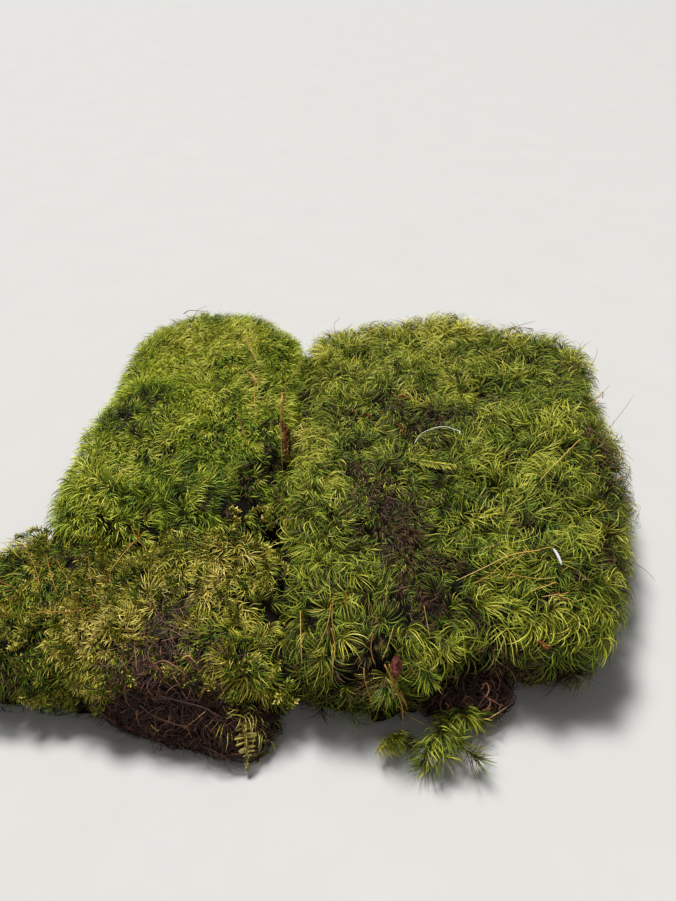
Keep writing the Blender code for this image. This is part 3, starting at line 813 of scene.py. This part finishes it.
def front_left_cushion(rng):
    """Soft moss at the left end, then short mat moss and arched moss, and feathery stems."""
    strands = Strands()
    for habit, left, right, seed, tone in (
        (SOFT_MOSS, -200, -96, 41, 0.61),
        (MAT_MOSS, -96, -56, 42, 0.72),
        (ARCHED_MOSS, -56, 50, 43, 0.69),
    ):
        shoots = shoots_on(FRONT_LEFT, habit, FRONT_LEFT_PATCHES, rng, (0.0, -0.3), tone, seed)
        place = shoots.places[:, 0] / MM + field_at(shoots.places, 14 * MM, 44) * 14
        shoots = shoots.only((place > left) & (place <= right))
        add_leaves(strands, shoots, habit, rng)
    strands.finish("mixed_moss", MAT, FRONT_LEFT)
    strands = Strands()
    stems = Hairs(320, 9, 0.3, depth=(-0.4, 1.2), arch=1.5, bend=0.2)
    for line in creep(FRONT_LEFT, stems, rng)[0]:
        if line[0, 2] > FEATHER_LEVEL and line[0, 0] > FEATHER_LEFT:
            tone = rng.uniform(0.5, 0.95)
            leafy_stem(strands, line, FEATHER_MOSS, tone, rng, UP, 1.0, 0.15 * MM)
    strands.finish("feather_sprigs", MAT, FRONT_LEFT)
    add_bed("mixed_moss_bed", FRONT_LEFT, BED_DEPTH * 0.7)


CREASE = [
    (304, 352), (301, 361), (299, 371), (297, 381), (296, 391), (295, 401), (294, 411),
    (292, 421), (290, 431), (288, 443), (285, 472), (284, 483), (282, 494), (281, 505),
]
CREASE_HALF = 8  # pixels from the crease's middle to the cushions beside it
CREASE_SHOOTS = 4  # at each place
CREASE_SPREAD = np.array([2.6, 2.0, 0]) * MM  # how far they stand from it at most
CREASE_SINK = 0.8 * MM


def crease_moss(rng):
    """Shoots of both cushions that meet over the crease between them."""
    over = [(seen_at((x - CREASE_HALF, y)) + seen_at((x + CREASE_HALF, y))) / 2 for x, y in CREASE]
    line = np.array(over).repeat(CREASE_SHOOTS, axis=0)
    count = len(line)
    places = line + rng.uniform(-1, 1, (count, 3)) * CREASE_SPREAD - UP * CREASE_SINK
    normals = np.broadcast_to(UP, (count, 3))
    sweeps = unit(rng.normal(0, 1, (count, 3)) * [1, 0.6, 0] + [0, -0.5, 0])
    axes = unit(normals + rng.normal(0, 0.2, (count, 3)))
    near = np.linspace(0, 1, len(CREASE)).repeat(CREASE_SHOOTS)
    # Darker down the crease: painted shade in its hollow.
    tones = 0.62 - 0.26 * smooth(near / 0.6) + rng.normal(0, 0.1, count)
    curls = rng.choice([-1.0, 1.0], count)
    shoots = Shoots(places, normals, axes, sweeps, curls, tones, rng.uniform(0.75, 1.1, count))
    grow("crease_moss", shoots, ARCHED_MOSS, rng, MOSS)


# ---- roots


@dataclass
class Hairs:
    """Root hairs that creep over a surface. Lengths are in millimetres."""

    count: int
    length: float
    width: float
    depth: tuple = (0.0, 1.2)  # how far under the surface they lie
    arch: float = 0.0  # how far their middles may stand out of it
    bend: float = 0.35  # how much their heading changes at each step
    steps: int = 6


def creep(name, hairs, rng, where=None):
    """Lines of hairs that creep over a solid, and the direction across each of them."""
    skin = SKINS[name]
    points, normals = skin.scatter(hairs.count, rng)
    if where:
        chosen = where(points, normals)
        points, normals = points[chosen], normals[chosen]
    count = len(points)
    heading = unit(along(rng.normal(0, 1, (count, 3)), normals))
    depth = rng.uniform(hairs.depth[0] * MM, hairs.depth[1] * MM, (count, 1))
    arch = hairs.arch * MM * rng.random((count, 1)) ** 2
    stride = hairs.length * MM * rng.uniform(0.5, 1.3, (count, 1)) / hairs.steps
    line, across = [], []
    for step in range(hairs.steps + 1):
        line.append(points + normals * (arch * math.sin(math.pi * step / hairs.steps) - depth))
        across.append(np.cross(heading, normals))
        heading = unit(along(heading + rng.normal(0, hairs.bend, (count, 3)), normals))
        points, normals = skin.nearest(points + heading * stride)
    return np.stack(line, axis=1), np.stack(across, axis=1)


def hair_tones(count, rng):
    """Mostly dark brown, with some reddish hairs and a few that are tan."""
    return 0.85 * rng.beta(1.1, 2.8, count)


def add_hairs(strands, name, hairs, rng, where=None, tones=None):
    middle, across = creep(name, hairs, rng, where)
    breadth = np.interp(np.linspace(0, 1, hairs.steps + 1), [0, 0.2, 0.7, 1], [0.6, 1, 0.8, 0.3])
    half = hairs.width * MM / 2 * rng.uniform(0.6, 1.4, (len(middle), 1))
    side = across * (half * breadth)[..., None]
    count = len(middle)
    tones = rng.uniform(*tones, count) if tones else hair_tones(count, rng)
    strands.add_ribbons(middle, side, tones)


def add_rootlets(strands, name, hairs, rng, where=None):
    """Thicker round roots between the hairs."""
    lines = creep(name, hairs, rng, where)[0]
    for line, tone in zip(lines, hair_tones(len(lines), rng)):
        radius = hairs.width * MM / 2 * rng.uniform(0.7, 1.3)
        strands.add_tube(line, radius, ([0, 1], [1, 0.4]), tone)


def near_pixels(pixels, reach, inside=True):
    """Chooses the points within reach of what the photo shows at the pixels, or the others."""
    spots = np.array([seen_at(pixel) for pixel in pixels])

    def where(points, normals):
        apart = np.linalg.norm(points[:, None] - spots[None], axis=2)
        return (apart.min(axis=1) < reach * MM) == inside

    return where


def downward(points, normals):
    return normals[:, 2] < -0.9


def low_edge(points, normals):
    return (points[:, 2] < 9 * MM) & (np.abs(normals[:, 2]) < 0.9)


ROOT_MARGIN = [
    (130, 690), (120, 676), (132, 660), (148, 648), (162, 634), (166, 618),
    (176, 655), (188, 668), (158, 665), (145, 672), (200, 684), (110, 690),
]
ROOT_MOSS = [
    (206, 672), (222, 680), (240, 686), (258, 690), (276, 696), (288, 706), (232, 700),
    (250, 706), (268, 712), (284, 718), (216, 694), (262, 724), (244, 720), (254, 728),
]
RIGHT_EDGE = [
    (600, 432), (611, 448), (621, 468), (629, 492), (634, 516), (637, 542), (640, 575),
]


def root_masses(rng):
    mossless = near_pixels(ROOT_MOSS, 4, inside=False)
    for name, fine, raised, thick in (
        ("root_mass_front_left", 3200, 900, 90),
        ("root_mass_right", 900, 320, 45),
    ):
        strands = Strands()
        low = Hairs(fine, 11, 0.2, arch=1.6)
        add_hairs(strands, name, low, rng, tones=(0.0, 0.55))
        loops = Hairs(raised, 9, 0.2, depth=(-0.5, 0.8), arch=4, bend=0.5)
        add_hairs(strands, name, loops, rng, mossless, (0.05, 0.8))
        add_rootlets(strands, name, Hairs(thick, 16, 0.4, arch=3, bend=0.3), rng, mossless)
        strands.finish(name + "_hairs", ROOTS, name)
        add_bed(name + "_peat", name, ROOT_DEPTH)


def moss_on_roots(rng):
    """Golden arched moss that grows over the right half of the root mass."""
    name = "root_mass_front_left"
    shoots = shoots_on(name, ARCHED_MOSS, FRONT_LEFT_PATCHES, rng, (0.1, -0.5), 0.74, 45)
    shoots = shoots.only(near_pixels(ROOT_MOSS, 5)(shoots.places, shoots.normals))
    shoots.places += shoots.normals * 1.5 * MM
    grow("moss_on_roots", shoots, ARCHED_MOSS, rng, MAT)


def undersides(rng):
    """The mat of root hairs under the cushions, and the roots that show between their moss."""
    strands = Strands()
    under = Hairs(1800, 16, 0.32, depth=(-0.4, -0.1))
    fringe = Hairs(1300, 10, 0.24, depth=(0.5, 5), arch=2)
    for name in CUSHIONS:
        add_hairs(strands, name, under, rng, downward)
        add_hairs(strands, name, fringe, rng, low_edge)
    strands.finish("underside_roots", ROOTS)
    strands = Strands()
    for name in CUSHIONS:
        add_hairs(strands, name, Hairs(200, 12, 0.3, depth=(2.5, 6)), rng)
    browned = [(patch.x, patch.y) for patch in BROWN_AND_SHADE_PATCHES if patch.bare > 0.08]
    web = Hairs(7500, 5, 0.2, depth=(-0.4, 1.4), arch=1.2, bend=0.7, steps=4)
    add_hairs(strands, RIGHT, web, rng, near_pixels(browned, 7), (0.0, 0.65))
    margin = Hairs(9500, 10, 0.2, depth=(-0.5, 1.5), arch=1.5)
    add_hairs(strands, FRONT_LEFT, margin, rng, near_pixels(ROOT_MARGIN, 6), (0.1, 0.75))
    side = Hairs(11000, 9, 0.24, depth=(-0.8, 1.4), arch=2.5)
    add_hairs(strands, RIGHT, side, rng, near_pixels(RIGHT_EDGE, 6), (0.35, 0.75))
    strands.finish("roots_among_moss", ROOTS)


# ---- sprigs, shoots and fronds


def leafy_stem(strands, line, habit, tone, rng, sweep, size, stalk, bare=0.0):
    """A stalk along a line, with whorls of leaves from its bare foot to its tip."""
    way = np.append(0, np.cumsum(np.linalg.norm(np.diff(line, axis=0), axis=1)))
    stops = np.arange(bare * way[-1], way[-1], habit.spacing * MM)
    share = stops / way[-1]
    places, ahead = (
        np.stack([np.interp(stops, way, values[:, i]) for i in range(3)], axis=1)
        for values in (line, unit(np.gradient(line, axis=0)))
    )
    axes = unit(ahead)
    count = len(stops)
    sweeps = np.broadcast_to(np.array(sweep, float), (count, 3))
    tones = tone + 0.12 * (share - 0.6) + rng.normal(0, 0.03, count)
    sizes = size * (1 - 0.3 * share**3)
    curls = rng.choice([-1.0, 1.0]) * np.ones(count)
    add_leaves(strands, Shoots(places, axes, axes, sweeps, curls, tones, sizes), habit, rng)
    strands.add_tube(line, stalk, STALK_TAPER, max(tone - 0.3, 0.1))


@dataclass
class Stem:
    """A leafy stem that lies free, as the photo shows it."""

    pixels: tuple  # across and down of each point in turn, from its foot
    tone: float
    sweep: tuple = (0, 0, 1)  # the way its leaves lean
    size: float = 1.0
    bare: float = 0.25
    nearer: tuple = (0.0, 0.0)  # millimetres before what the photo shows, at foot and tip


LARGE_SHOOT_STEMS = table(
    Stem,
    ((458, 704, 462, 710, 465, 717), 0.52, (0.35, -1, -0.2), 0.95, 0.2, (-5, 0.5)),
    ((468, 706, 474, 713, 478, 720), 0.46, (0.6, -1, -0.2), 0.85, 0.3, (-5, -1)),
    ((456, 712, 452, 720, 449, 727), 0.46, (-0.3, -1, -0.2), 0.90, 0.3, (-5, -0.5)),
    ((448, 726, 443, 731, 440, 737), 0.54, (0.25, -1, -0.2), 1.05, 0.2, (-5, 1)),
    ((452, 730, 456, 737, 458, 743), 0.45, (0.6, -0.9, -0.2), 0.95, 0.3, (-4, -0.5)),
    ((437, 738, 432, 744, 428, 750), 0.53, (-0.15, -1, -0.2), 1.15, 0.2, (-4, 0.5)),
    ((436, 742, 440, 750, 444, 757), 0.48, (0.6, -1, -0.1), 1.05, 0.3, (-3, -1)),
    ((430, 745, 425, 756, 422, 766), 0.48, (-0.4, -1, -0.1), 0.9, 0.3, (-3, -1.5)),
    ((458, 742, 468, 752, 478, 758), 0.30, (0.7, -0.7, 0), 0.95, 0.5, (-2, -1)),
)
SMALL_SHOOT_STEMS = table(
    Stem,
    ((404, 734, 395, 738, 386, 743, 379, 751), 0.80, (-0.1, -1, -0.3), 0.62, 0.1, (-2, 0.4)),
    ((403, 735, 395, 741, 390, 748), 0.66, (0.1, -1, -0.3), 0.55, 0.2, (-2, -0.5)),
    ((402, 735, 408, 741, 413, 747), 0.46, (0.5, -0.8, 0), 0.6, 0.3, (-2, -1)),
)
EDGE_STEMS = table(
    Stem,
    ((428, 666, 428, 674, 428, 681), 0.56, (0.3, -0.6, -0.7), 0.75, 0.3),
    ((384, 676, 385, 686, 387, 694), 0.42, (-0.3, -0.6, -0.7), 0.75, 0.3),
    ((442, 638, 446, 644, 448, 650), 0.68, (0.4, -0.6, -0.6), 0.85, 0.3),
)
ROUND_SPRIGS = table(
    Stem,
    ((227, 505, 233, 513, 240, 523), 0.90), ((226, 508, 233, 509, 241, 513), 0.92),
    ((228, 533, 234, 527, 239, 520), 0.88), ((243, 520, 247, 518, 251, 519), 0.86),
    ((250, 513, 256, 509, 263, 508), 0.94), ((263, 516, 268, 511, 273, 508), 0.92),
    ((258, 523, 264, 519, 271, 517), 0.88), ((263, 533, 269, 527, 276, 523), 0.84),
    ((167, 683, 170, 679, 173, 675), 0.55), ((178, 690, 181, 686, 185, 682), 0.60),
    ((194, 683, 196, 677, 199, 672), 0.62), ((286, 688, 280, 696, 276, 702), 0.80),
    ((288, 708, 292, 703, 296, 700), 0.76),
)
DEAD_STEMS = table(
    Stem,
    ((282, 422, 285, 434, 284, 446), 0.10, UP, 1.0, 0, (1.2, 1.2)),
    ((286, 426, 287, 442, 288, 460), 0.06, UP, 1.1, 0, (1.0, 1.0)),
    ((283, 444, 286, 453, 288, 462), 0.14, UP, 0.9, 0, (1.2, 1.2)),
    ((397, 398, 403, 396, 409, 398), 0.35, UP, 1.0, 0, (0.4, 0.4)),
    ((363, 415, 368, 415, 372, 418), 0.25, UP, 1.0, 0, (0.4, 0.4)),
    ((396, 423, 401, 427, 400, 434), 0.30, UP, 1.0, 0, (0.4, 0.4)),
    ((540, 641, 545, 646, 550, 647), 0.30, UP, 0.9, 0, (0.6, 0.6)),
)
SIDE_SPRIGS = table(
    Stem,
    ((250, 752, 256, 755, 262, 757), 0.6), ((257, 755, 254, 759, 249, 763), 0.7),
    ((259, 756, 258, 759, 257, 762), 0.6), ((262, 757, 265, 754, 269, 753), 0.8),
    ((258, 744, 262, 741, 266, 742), 0.2),
)


def add_stems(strands, stems, habit, rng, stalk=0.25 * MM):
    for stem in stems:
        rise = np.linspace(*stem.nearer, len(stem.pixels) // 2)[:, None] * MM
        line = seen_line(stem.pixels, rise)
        leafy_stem(strands, line, habit, stem.tone, rng, stem.sweep, stem.size, stalk, stem.bare)


def loose_shoots(rng):
    for name, stems in (
        ("loose_shoot_large", LARGE_SHOOT_STEMS),
        ("loose_shoot_small", SMALL_SHOOT_STEMS),
    ):
        strands = Strands()
        add_stems(strands, stems, LOOSE_MOSS, rng)
        strands.finish(name + "_leaves", MOSS, name)


def sprigs(rng):
    strands = Strands()
    add_stems(strands, EDGE_STEMS, LOOSE_MOSS, rng)
    add_stems(strands, ROUND_SPRIGS, ROUND_MOSS, rng, stalk=0.15 * MM)
    strands.finish("sprigs", MAT)
    strands = Strands()
    add_stems(strands, DEAD_STEMS, SCALE_MOSS, rng)
    strands.finish("dead_stems", STRAW)


def add_leaflet(strands, line, across, half_width, tone):
    """A flat blunt leaflet along a line, and a narrower one that stands on it like a keel."""
    share = np.linspace(0, 1, len(line))
    breadth = np.interp(share, [0, 0.2, 0.6, 0.9, 1], [0.5, 0.85, 1, 0.7, 0.3])[:, None]
    above = UP * 0.3 * MM * np.sin(math.pi * share)[:, None]
    for rise, width, lift in ((0, 1.0, 0.0), (1, 0.45, 0.16)):
        side = across * half_width * width * breadth
        strands.add_ribbons((line + above * rise)[None], side[None], np.array([tone + lift]))


def add_frond(strands, node, toward, rng, lengths, carried, lean, tones, half_width):
    """A flat frond in place of a node: a scaly midrib with a pair of leaflets at each step.

    The leaflets' lengths are in millimetres, as is their half_width. They stand on the
    carried share of the midrib, lean that many degrees off square towards its tip, and
    their tones go from the first pair's to the last one's.
    """
    line, axes = spine(node, toward)
    line = curve_through(line, 4)
    leafy_stem(strands, line, SCALE_MOSS, tones[1] - 0.1, rng, axes[2], 1.0, 0.3 * MM)
    for index, length in enumerate(lengths):
        foot = line[int((len(line) - 1) * carried * (index + 0.3) / len(lengths))]
        for hand in (-1, 1):
            angle = math.radians(lean) + rng.normal(0, 0.12)
            way = axes[1] * hand * math.cos(angle) + axes[0] * math.sin(angle)
            reach = np.linspace(0, length * rng.uniform(0.85, 1.1) * MM, 8)[:, None]
            dip = axes[2] * (0.5 * MM - 0.12 * reach - reach**2 * 15)
            across = unit(np.cross(axes[2] + axes[0] * rng.normal(0, 0.3), way))
            tone = np.interp(index / (len(lengths) - 1), [0, 1], tones) + rng.normal(0, 0.07)
            half = half_width * MM * rng.uniform(0.75, 1.15)
            add_leaflet(strands, foot + way * reach + dip, across, half, tone)


def fronds(rng):
    strands = Strands()
    add_frond(
        strands, "feather_frond", (0, -1, 0), rng, carried=0.76, lean=14, tones=(0.34, 0.80),
        lengths=(2.4, 3.2, 3.7, 3.8, 3.6, 3.2, 2.4, 1.5), half_width=0.46,
    )
    add_stems(strands, SIDE_SPRIGS, SCALE_MOSS, rng, stalk=0.2 * MM)
    strands.finish("feather_frond_vanes", FROND, "feather_frond")
    strands = Strands()
    add_frond(
        strands, "surface_frond", (1, 0, 0), rng, carried=0.97, lean=48, tones=(0.60, 0.68),
        lengths=3.6 * np.sin(np.linspace(0.35, math.pi - 0.3, 19)) ** 0.8, half_width=0.28,
    )
    strands.finish("surface_frond_vanes", MAT, "surface_frond")


# ---- litter


@dataclass
class Stalk:
    """A thin stalk as the photo shows it."""

    pixels: tuple  # across and down of each point in turn, from its foot
    tone: float
    radius: float = 0.12  # millimetres
    nearer: float = -0.3  # millimetres before what the photo shows
    hung: bool = False  # stands out from the clump past its first pixel


NODE_STALKS = {  # radius at the foot in millimetres, and tone
    "straw_right_long": (0.20, 0.90),
    "straw_right_low": (0.19, 0.82),
    "straw_right_short": (0.20, 0.70),
    "straw_right_slanting": (0.20, 0.92),
    "straw_right_far": (0.17, 0.45),
    "straw_back_left_long": (0.15, 0.62),
    "straw_back_left_short": (0.15, 0.70),
    "straw_front_left_edge": (0.19, 0.45),
    "straw_front_left_upright": (0.17, 0.40),
    "straw_front_left_middle": (0.17, 0.75),
    "straw_front_edge": (0.16, 0.80),
    "straw_front_long": (0.26, 0.62),
    "straw_front_fork": (0.22, 0.55),
    "twig_right_back": (0.22, 0.05),
    "twig_between_cushions": (0.22, 0.12),
    "twig_back_left": (0.22, 0.18),
}
STALKS = table(
    Stalk,
    ((473, 584, 490, 575, 504, 563, 520, 556, 527, 548), 0.80, 0.14),
    ((494, 554, 505, 554, 516, 552), 0.85, 0.12),
    ((511, 574, 520, 576, 541, 579, 558, 577), 0.70, 0.15),
    ((507, 579, 512, 572, 517, 565), 0.85, 0.14),
    ((482, 549, 489, 547, 495, 545), 0.80, 0.12),
    ((552, 592, 565, 599, 579, 608), 0.40, 0.14),
    ((560, 571, 565, 569, 569, 566), 0.80, 0.12),
    ((590, 405, 600, 396, 610, 385), 0.45, 0.12, -0.3, True),
    ((333, 600, 332, 615, 333, 632), 0.70),
    ((366, 684, 370, 698, 373, 712), 0.60, 0.12, 0.4),
    ((249, 372, 253, 376, 256, 381), 0.85, 0.26, 0.6),
    ((257, 381, 258, 387, 257, 392), 0.80, 0.16, 0.4),
    ((246, 338, 253, 352, 260, 366), 0.72, 0.11, 0.6),
    ((225, 366, 232, 365, 238, 363), 0.35, 0.14, 0.5),
    ((237, 413, 243, 430, 248, 448), 0.20, 0.20, 0.5),
    ((284, 386, 293, 376, 302, 366), 0.75, 0.12, 0.8),
    ((281, 396, 279, 402, 277, 408), 0.45, 0.14, 0.8),
    ((282, 393, 282, 398, 281, 403), 0.75, 0.34, 0.9),
    ((280, 452, 284, 446, 289, 443), 0.30, 0.14, 1.4),
    ((538, 550, 546, 548, 553, 547), 0.85, 0.15, 0.4),
    ((247, 372, 254, 378, 259, 385), 0.35, 0.28, 0.6),
    ((281, 398, 281, 410, 280, 422), 0.50, 0.15, 0.8),
    ((138, 540, 134, 533, 131, 526), 0.50, 0.20, 1.5),
    ((138, 540, 143, 534, 148, 530), 0.62, 0.18, 1.5),
    ((138, 541, 139, 531, 139, 524), 0.40, 0.20, 1.5),
    ((138, 541, 132, 543, 127, 547), 0.55, 0.18, 1.5),
    ((138, 541, 144, 546, 147, 551), 0.45, 0.18, 1.5),
    ((57, 559, 63, 572, 74, 586), 0.55),
    ((88, 556, 91, 582, 95, 610), 0.45),
    ((1, 582, 8, 585, 15, 588), 0.25, 0.26),
    ((285, 512, 294, 503, 303, 497), 0.85, 0.14, 0.5),
    ((182, 658, 189, 656, 196, 663), 1.00, 0.20, 0.8),
    ((200, 694, 205, 689, 210, 687), 0.30, 0.45, 0.5),
    ((184, 728, 194, 721, 201, 715, 206, 711), 0.80, 0.13, 0.8),
    ((151, 725, 155, 729, 159, 731), 0.85, 0.26, 0.5),
    ((105, 560, 112, 590, 108, 620), 0.40),
    ((20, 545, 32, 560, 40, 585), 0.55),
    ((170, 640, 176, 655, 172, 668), 0.20),
    ((398, 706, 411, 717, 424, 724), 0.70, 0.20, 1.5),
    ((393, 629, 388, 645, 382, 660), 0.85, 0.14, 0.6),
    ((594, 438, 612, 449, 630, 464), 0.25, 0.22, 0.8),
    ((610, 462, 619, 459, 629, 467), 0.35, 0.16, 0.8),
    ((331, 604, 327, 626, 314, 655), 0.72, 0.13, 0.5),
    ((331, 628, 335, 646, 333, 664, 332, 680), 0.60, 0.20, 0.8),
    ((346, 590, 347, 606, 350, 626), 0.35, 0.15, 0.5),
    ((373, 634, 371, 648, 374, 664), 0.50, 0.16, 0.6),
    ((381, 638, 382, 646, 381, 654), 0.40, 0.14, 0.6),
    ((364, 668, 365, 682, 374, 706), 0.75, 0.14, 0.8),
    ((424, 606, 427, 622, 430, 638), 0.88, 0.13, 0.5),
    ((344, 640, 343, 654, 341, 666), 0.62, 0.13, 0.5),
    ((330, 670, 326, 674, 321, 678), 0.65, 0.13, 0.8),
    ((398, 676, 395, 687, 401, 696, 407, 706), 0.50, 0.28, 2.2),
    ((389, 664, 393, 676, 398, 690), 0.80, 0.16, 1.5),
    ((536, 640, 541, 644, 546, 646), 0.30, 0.30, 0.3),
    ((483, 711, 487, 710, 491, 708), 0.30, 0.50, 0.5),
    ((606, 432, 622, 412, 634, 395), 0.20, 0.10, -0.3, True),
    ((633, 562, 645, 570, 655, 580), 0.30, 0.10, -0.3, True),
    ((508, 329, 521, 325, 535, 321), 0.10, 0.16, -0.3, True),
    ((190, 326, 197, 311, 207, 306), 0.30, 0.14, -0.3, True),
    ((142, 346, 145, 338, 150, 335), 0.45, 0.12, -0.3, True),
    ((250, 332, 262, 322, 272, 320), 0.55, 0.12, -0.3, True),
    ((338, 340, 334, 325, 340, 318), 0.40, 0.12, -0.3, True),
    ((588, 372, 596, 356, 597, 348), 0.35, 0.12, -0.3, True),
)
ROOT_ARCS = table(
    Stalk,
    ((150, 669, 157, 663, 165, 661, 176, 667, 186, 675), 0.65, 0.30, 2.6),
    ((126, 702, 130, 718, 139, 731, 148, 737), 0.35, 0.18, 2.6),
    ((140, 706, 150, 714, 168, 722, 190, 728), 0.45, 0.22, 2.6),
    ((160, 696, 182, 702, 204, 708, 222, 718), 0.40, 0.25, 2.6),
    ((182, 712, 183, 722, 188, 730, 192, 738), 0.60, 0.18, 2.6),
    ((200, 745, 215, 752, 230, 760, 240, 762), 0.40, 0.18, 2.6),
    ((474, 720, 487, 719, 501, 711, 516, 700), 0.90, 0.22, 2.4),
    ((481, 690, 486, 683, 489, 690, 486, 697), 0.75, 0.25, 2.8),
    ((483, 712, 490, 705, 489, 698), 0.70, 0.22, 2.8),
    ((502, 704, 499, 710, 502, 716), 0.85, 0.15, 2.4),
    ((445, 678, 452, 676, 458, 679), 0.55, 0.25, 2.4),
    ((496, 672, 500, 682, 498, 690), 0.80, 0.15, 2.4),
    ((508, 668, 514, 676, 516, 684), 0.75, 0.15, 2.4),
)


def stalks():
    for node, (radius, tone) in NODE_STALKS.items():
        line = curve_through(spine(node)[0] - UP * STALK_SINK, 4)
        strands = Strands()
        strands.add_tube(line, radius * MM, STALK_TAPER, tone, sides=6)
        strands.finish("fine_" + node, STRAW, node)
    for name, listed, material, slot in (
        ("thin_stalks", STALKS, STRAW, "straw"),
        ("long_roots", ROOT_ARCS, ROOTS, "roots"),
    ):
        strands = Strands()
        for stalk in listed:
            line = seen_line(stalk.pixels, stalk.nearer * MM, stalk.hung)
            strands.add_tube(line, stalk.radius * MM, STALK_TAPER, stalk.tone)
        strands.finish(name, material)


def pale_pieces():
    """The white fibre, hooked at its far end, and the thicker pale scrap."""
    strands = Strands()
    line = spine("pale_fibre", (1, 0, 0), 9)[0]
    hook = line[-1] + np.array([(0.3, -0.6, -0.1), (-0.1, -1.4, -0.2)]) * MM
    line = curve_through(np.concatenate([line, hook]), 4)
    strands.add_tube(line, 0.13 * MM, ([0, 1], [0.7, 1]), 1.0, sides=6)
    strands.finish("white_fibre", PALE, "pale_fibre")
    strands = Strands()
    line = curve_through(spine("pale_scrap", stations=4)[0], 4)
    bulge = [0, 0.15, 0.5, 0.9, 1], [0.4, 0.84, 1, 0.72, 0.3]
    strands.add_tube(line, 0.5 * MM, bulge, 0.15, sides=9)
    strands.finish("white_scrap", PALE, "pale_scrap")


def dry_leaf():
    """A crumpled, torn scrap of leaf, curled along its length."""
    half_width, columns = 2.0 * MM, 17
    line, axes = spine("dry_leaf", stations=9)
    line = curve_through(line, 3)
    rows = len(line)
    share = np.linspace(0, 1, rows)[:, None]
    over = np.linspace(-1, 1, columns)[None]
    torn = 1 + 0.5 * field_at(line, 0.8 * MM, 67)[:, None] * np.abs(over) ** 3
    half = half_width * np.sin(math.pi * np.clip(share, 0.06, 0.94)) ** 0.7 * torn
    angle = over * (0.9 + 0.5 * share)
    sheet = (
        line[:, None]
        + axes[1] * (half * np.sin(angle))[..., None]
        + axes[2] * (half * (np.cos(angle) - 0.7))[..., None]
    )
    coarse, fine = (
        1 - 2 * np.abs(field_at(sheet.reshape(-1, 3), size * MM, 61)).reshape(rows, columns, 1)
        for size in (2.4, 1.0)
    )
    # The creases stand up from the sheet in millimetres, and are paler along their ridges: painted
    # highlights, with painted shade in the folds.
    sheet = sheet + (axes[2] * (coarse * 0.55 + fine * 0.28) + axes[1] * coarse * 0.2) * MM
    corner = (np.arange(rows - 1)[:, None] * columns + np.arange(columns - 1)).reshape(-1, 1)
    faces = np.concatenate([corner + [0, columns, columns + 1], corner + [0, columns + 1, 1]])
    # The tone follows the crumples, painted highlights on their ridges and painted shade between
    # them; the paler rim is the leaf's own.
    ridges = np.clip(coarse[..., 0], 0, 1) ** 4
    tone = 0.12 + 0.55 * ridges + 0.22 * fine[..., 0] + 0.2 * np.abs(over) ** 4
    palette = np.stack(np.broadcast_arrays(share * 0.9 + 0.05, np.clip(tone, 0.05, 0.95)), axis=2)
    strands = Strands()
    strands.add(sheet.reshape(-1, 3), faces, palette.reshape(-1, 2))
    strands.finish("curled_leaf", DRY_LEAF, "dry_leaf")


# ---- floor, light, camera


def add_floor(reach=6.0):
    mesh = bpy.data.meshes.new("floor")
    corners = [(-reach, -reach, 0), (reach, -reach, 0), (reach, reach, 0), (-reach, reach, 0)]
    mesh.from_pydata(corners, [], [(0, 1, 2, 3)])
    greys = [(177, 176, 173), (180, 179, 176)]
    mesh.materials.append(mottled_material("pale_floor", 0.8, 40 * MM, (0.3, 0.7), greys))
    floor = add_object("floor", mesh)


def add_light(name, kind, place, energy):
    light = bpy.data.lights.new(name, kind)
    light.energy = energy
    lamp = add_object(name, light)
    lamp.location = place
    lamp.rotation_euler = (-Vector(place)).to_track_quat("-Z", "Y").to_euler()
    return light


def add_lights():
    """A soft key from above and behind, as in the photo, and a weak fill from the front."""
    add_light("key", "SUN", (-0.22, 0.45, 0.85), energy=5.6).angle = 0.26
    add_light("fill", "AREA", (0.35, -0.75, 0.75), energy=0.9).size = 0.9
    world = bpy.data.worlds.new("studio")
    world.use_nodes = True
    backdrop = world.node_tree.nodes["Background"].inputs
    backdrop["Color"].default_value = (1.0, 0.98, 0.95, 1)
    backdrop["Strength"].default_value = 0.18
    bpy.context.scene.world = world
    bpy.context.scene.view_settings.view_transform = "Standard"


def add_camera():
    camera = bpy.data.cameras.new("camera")
    camera.sensor_width = SENSOR
    camera.lens = FOCAL_PIXELS * SENSOR / PHOTO_HEIGHT
    camera.clip_start = 0.01
    stand = add_object("camera", camera)
    stand.location = CAMERA_PLACE
    stand.rotation_euler = (math.pi / 2 - CAMERA_PITCH, 0, 0)
    bpy.context.scene.camera = stand


add_camera()
add_floor()
add_lights()
for build, seed_step in (
    (right_cushion, 0), (back_left_cushion, 1), (front_left_cushion, 2), (crease_moss, 9),
    (root_masses, 3), (moss_on_roots, 8), (undersides, 4), (loose_shoots, 5), (sprigs, 6),
    (fronds, 7),
):
    build(np.random.default_rng(SEED + seed_step))
stalks()
pale_pieces()
dry_leaf()
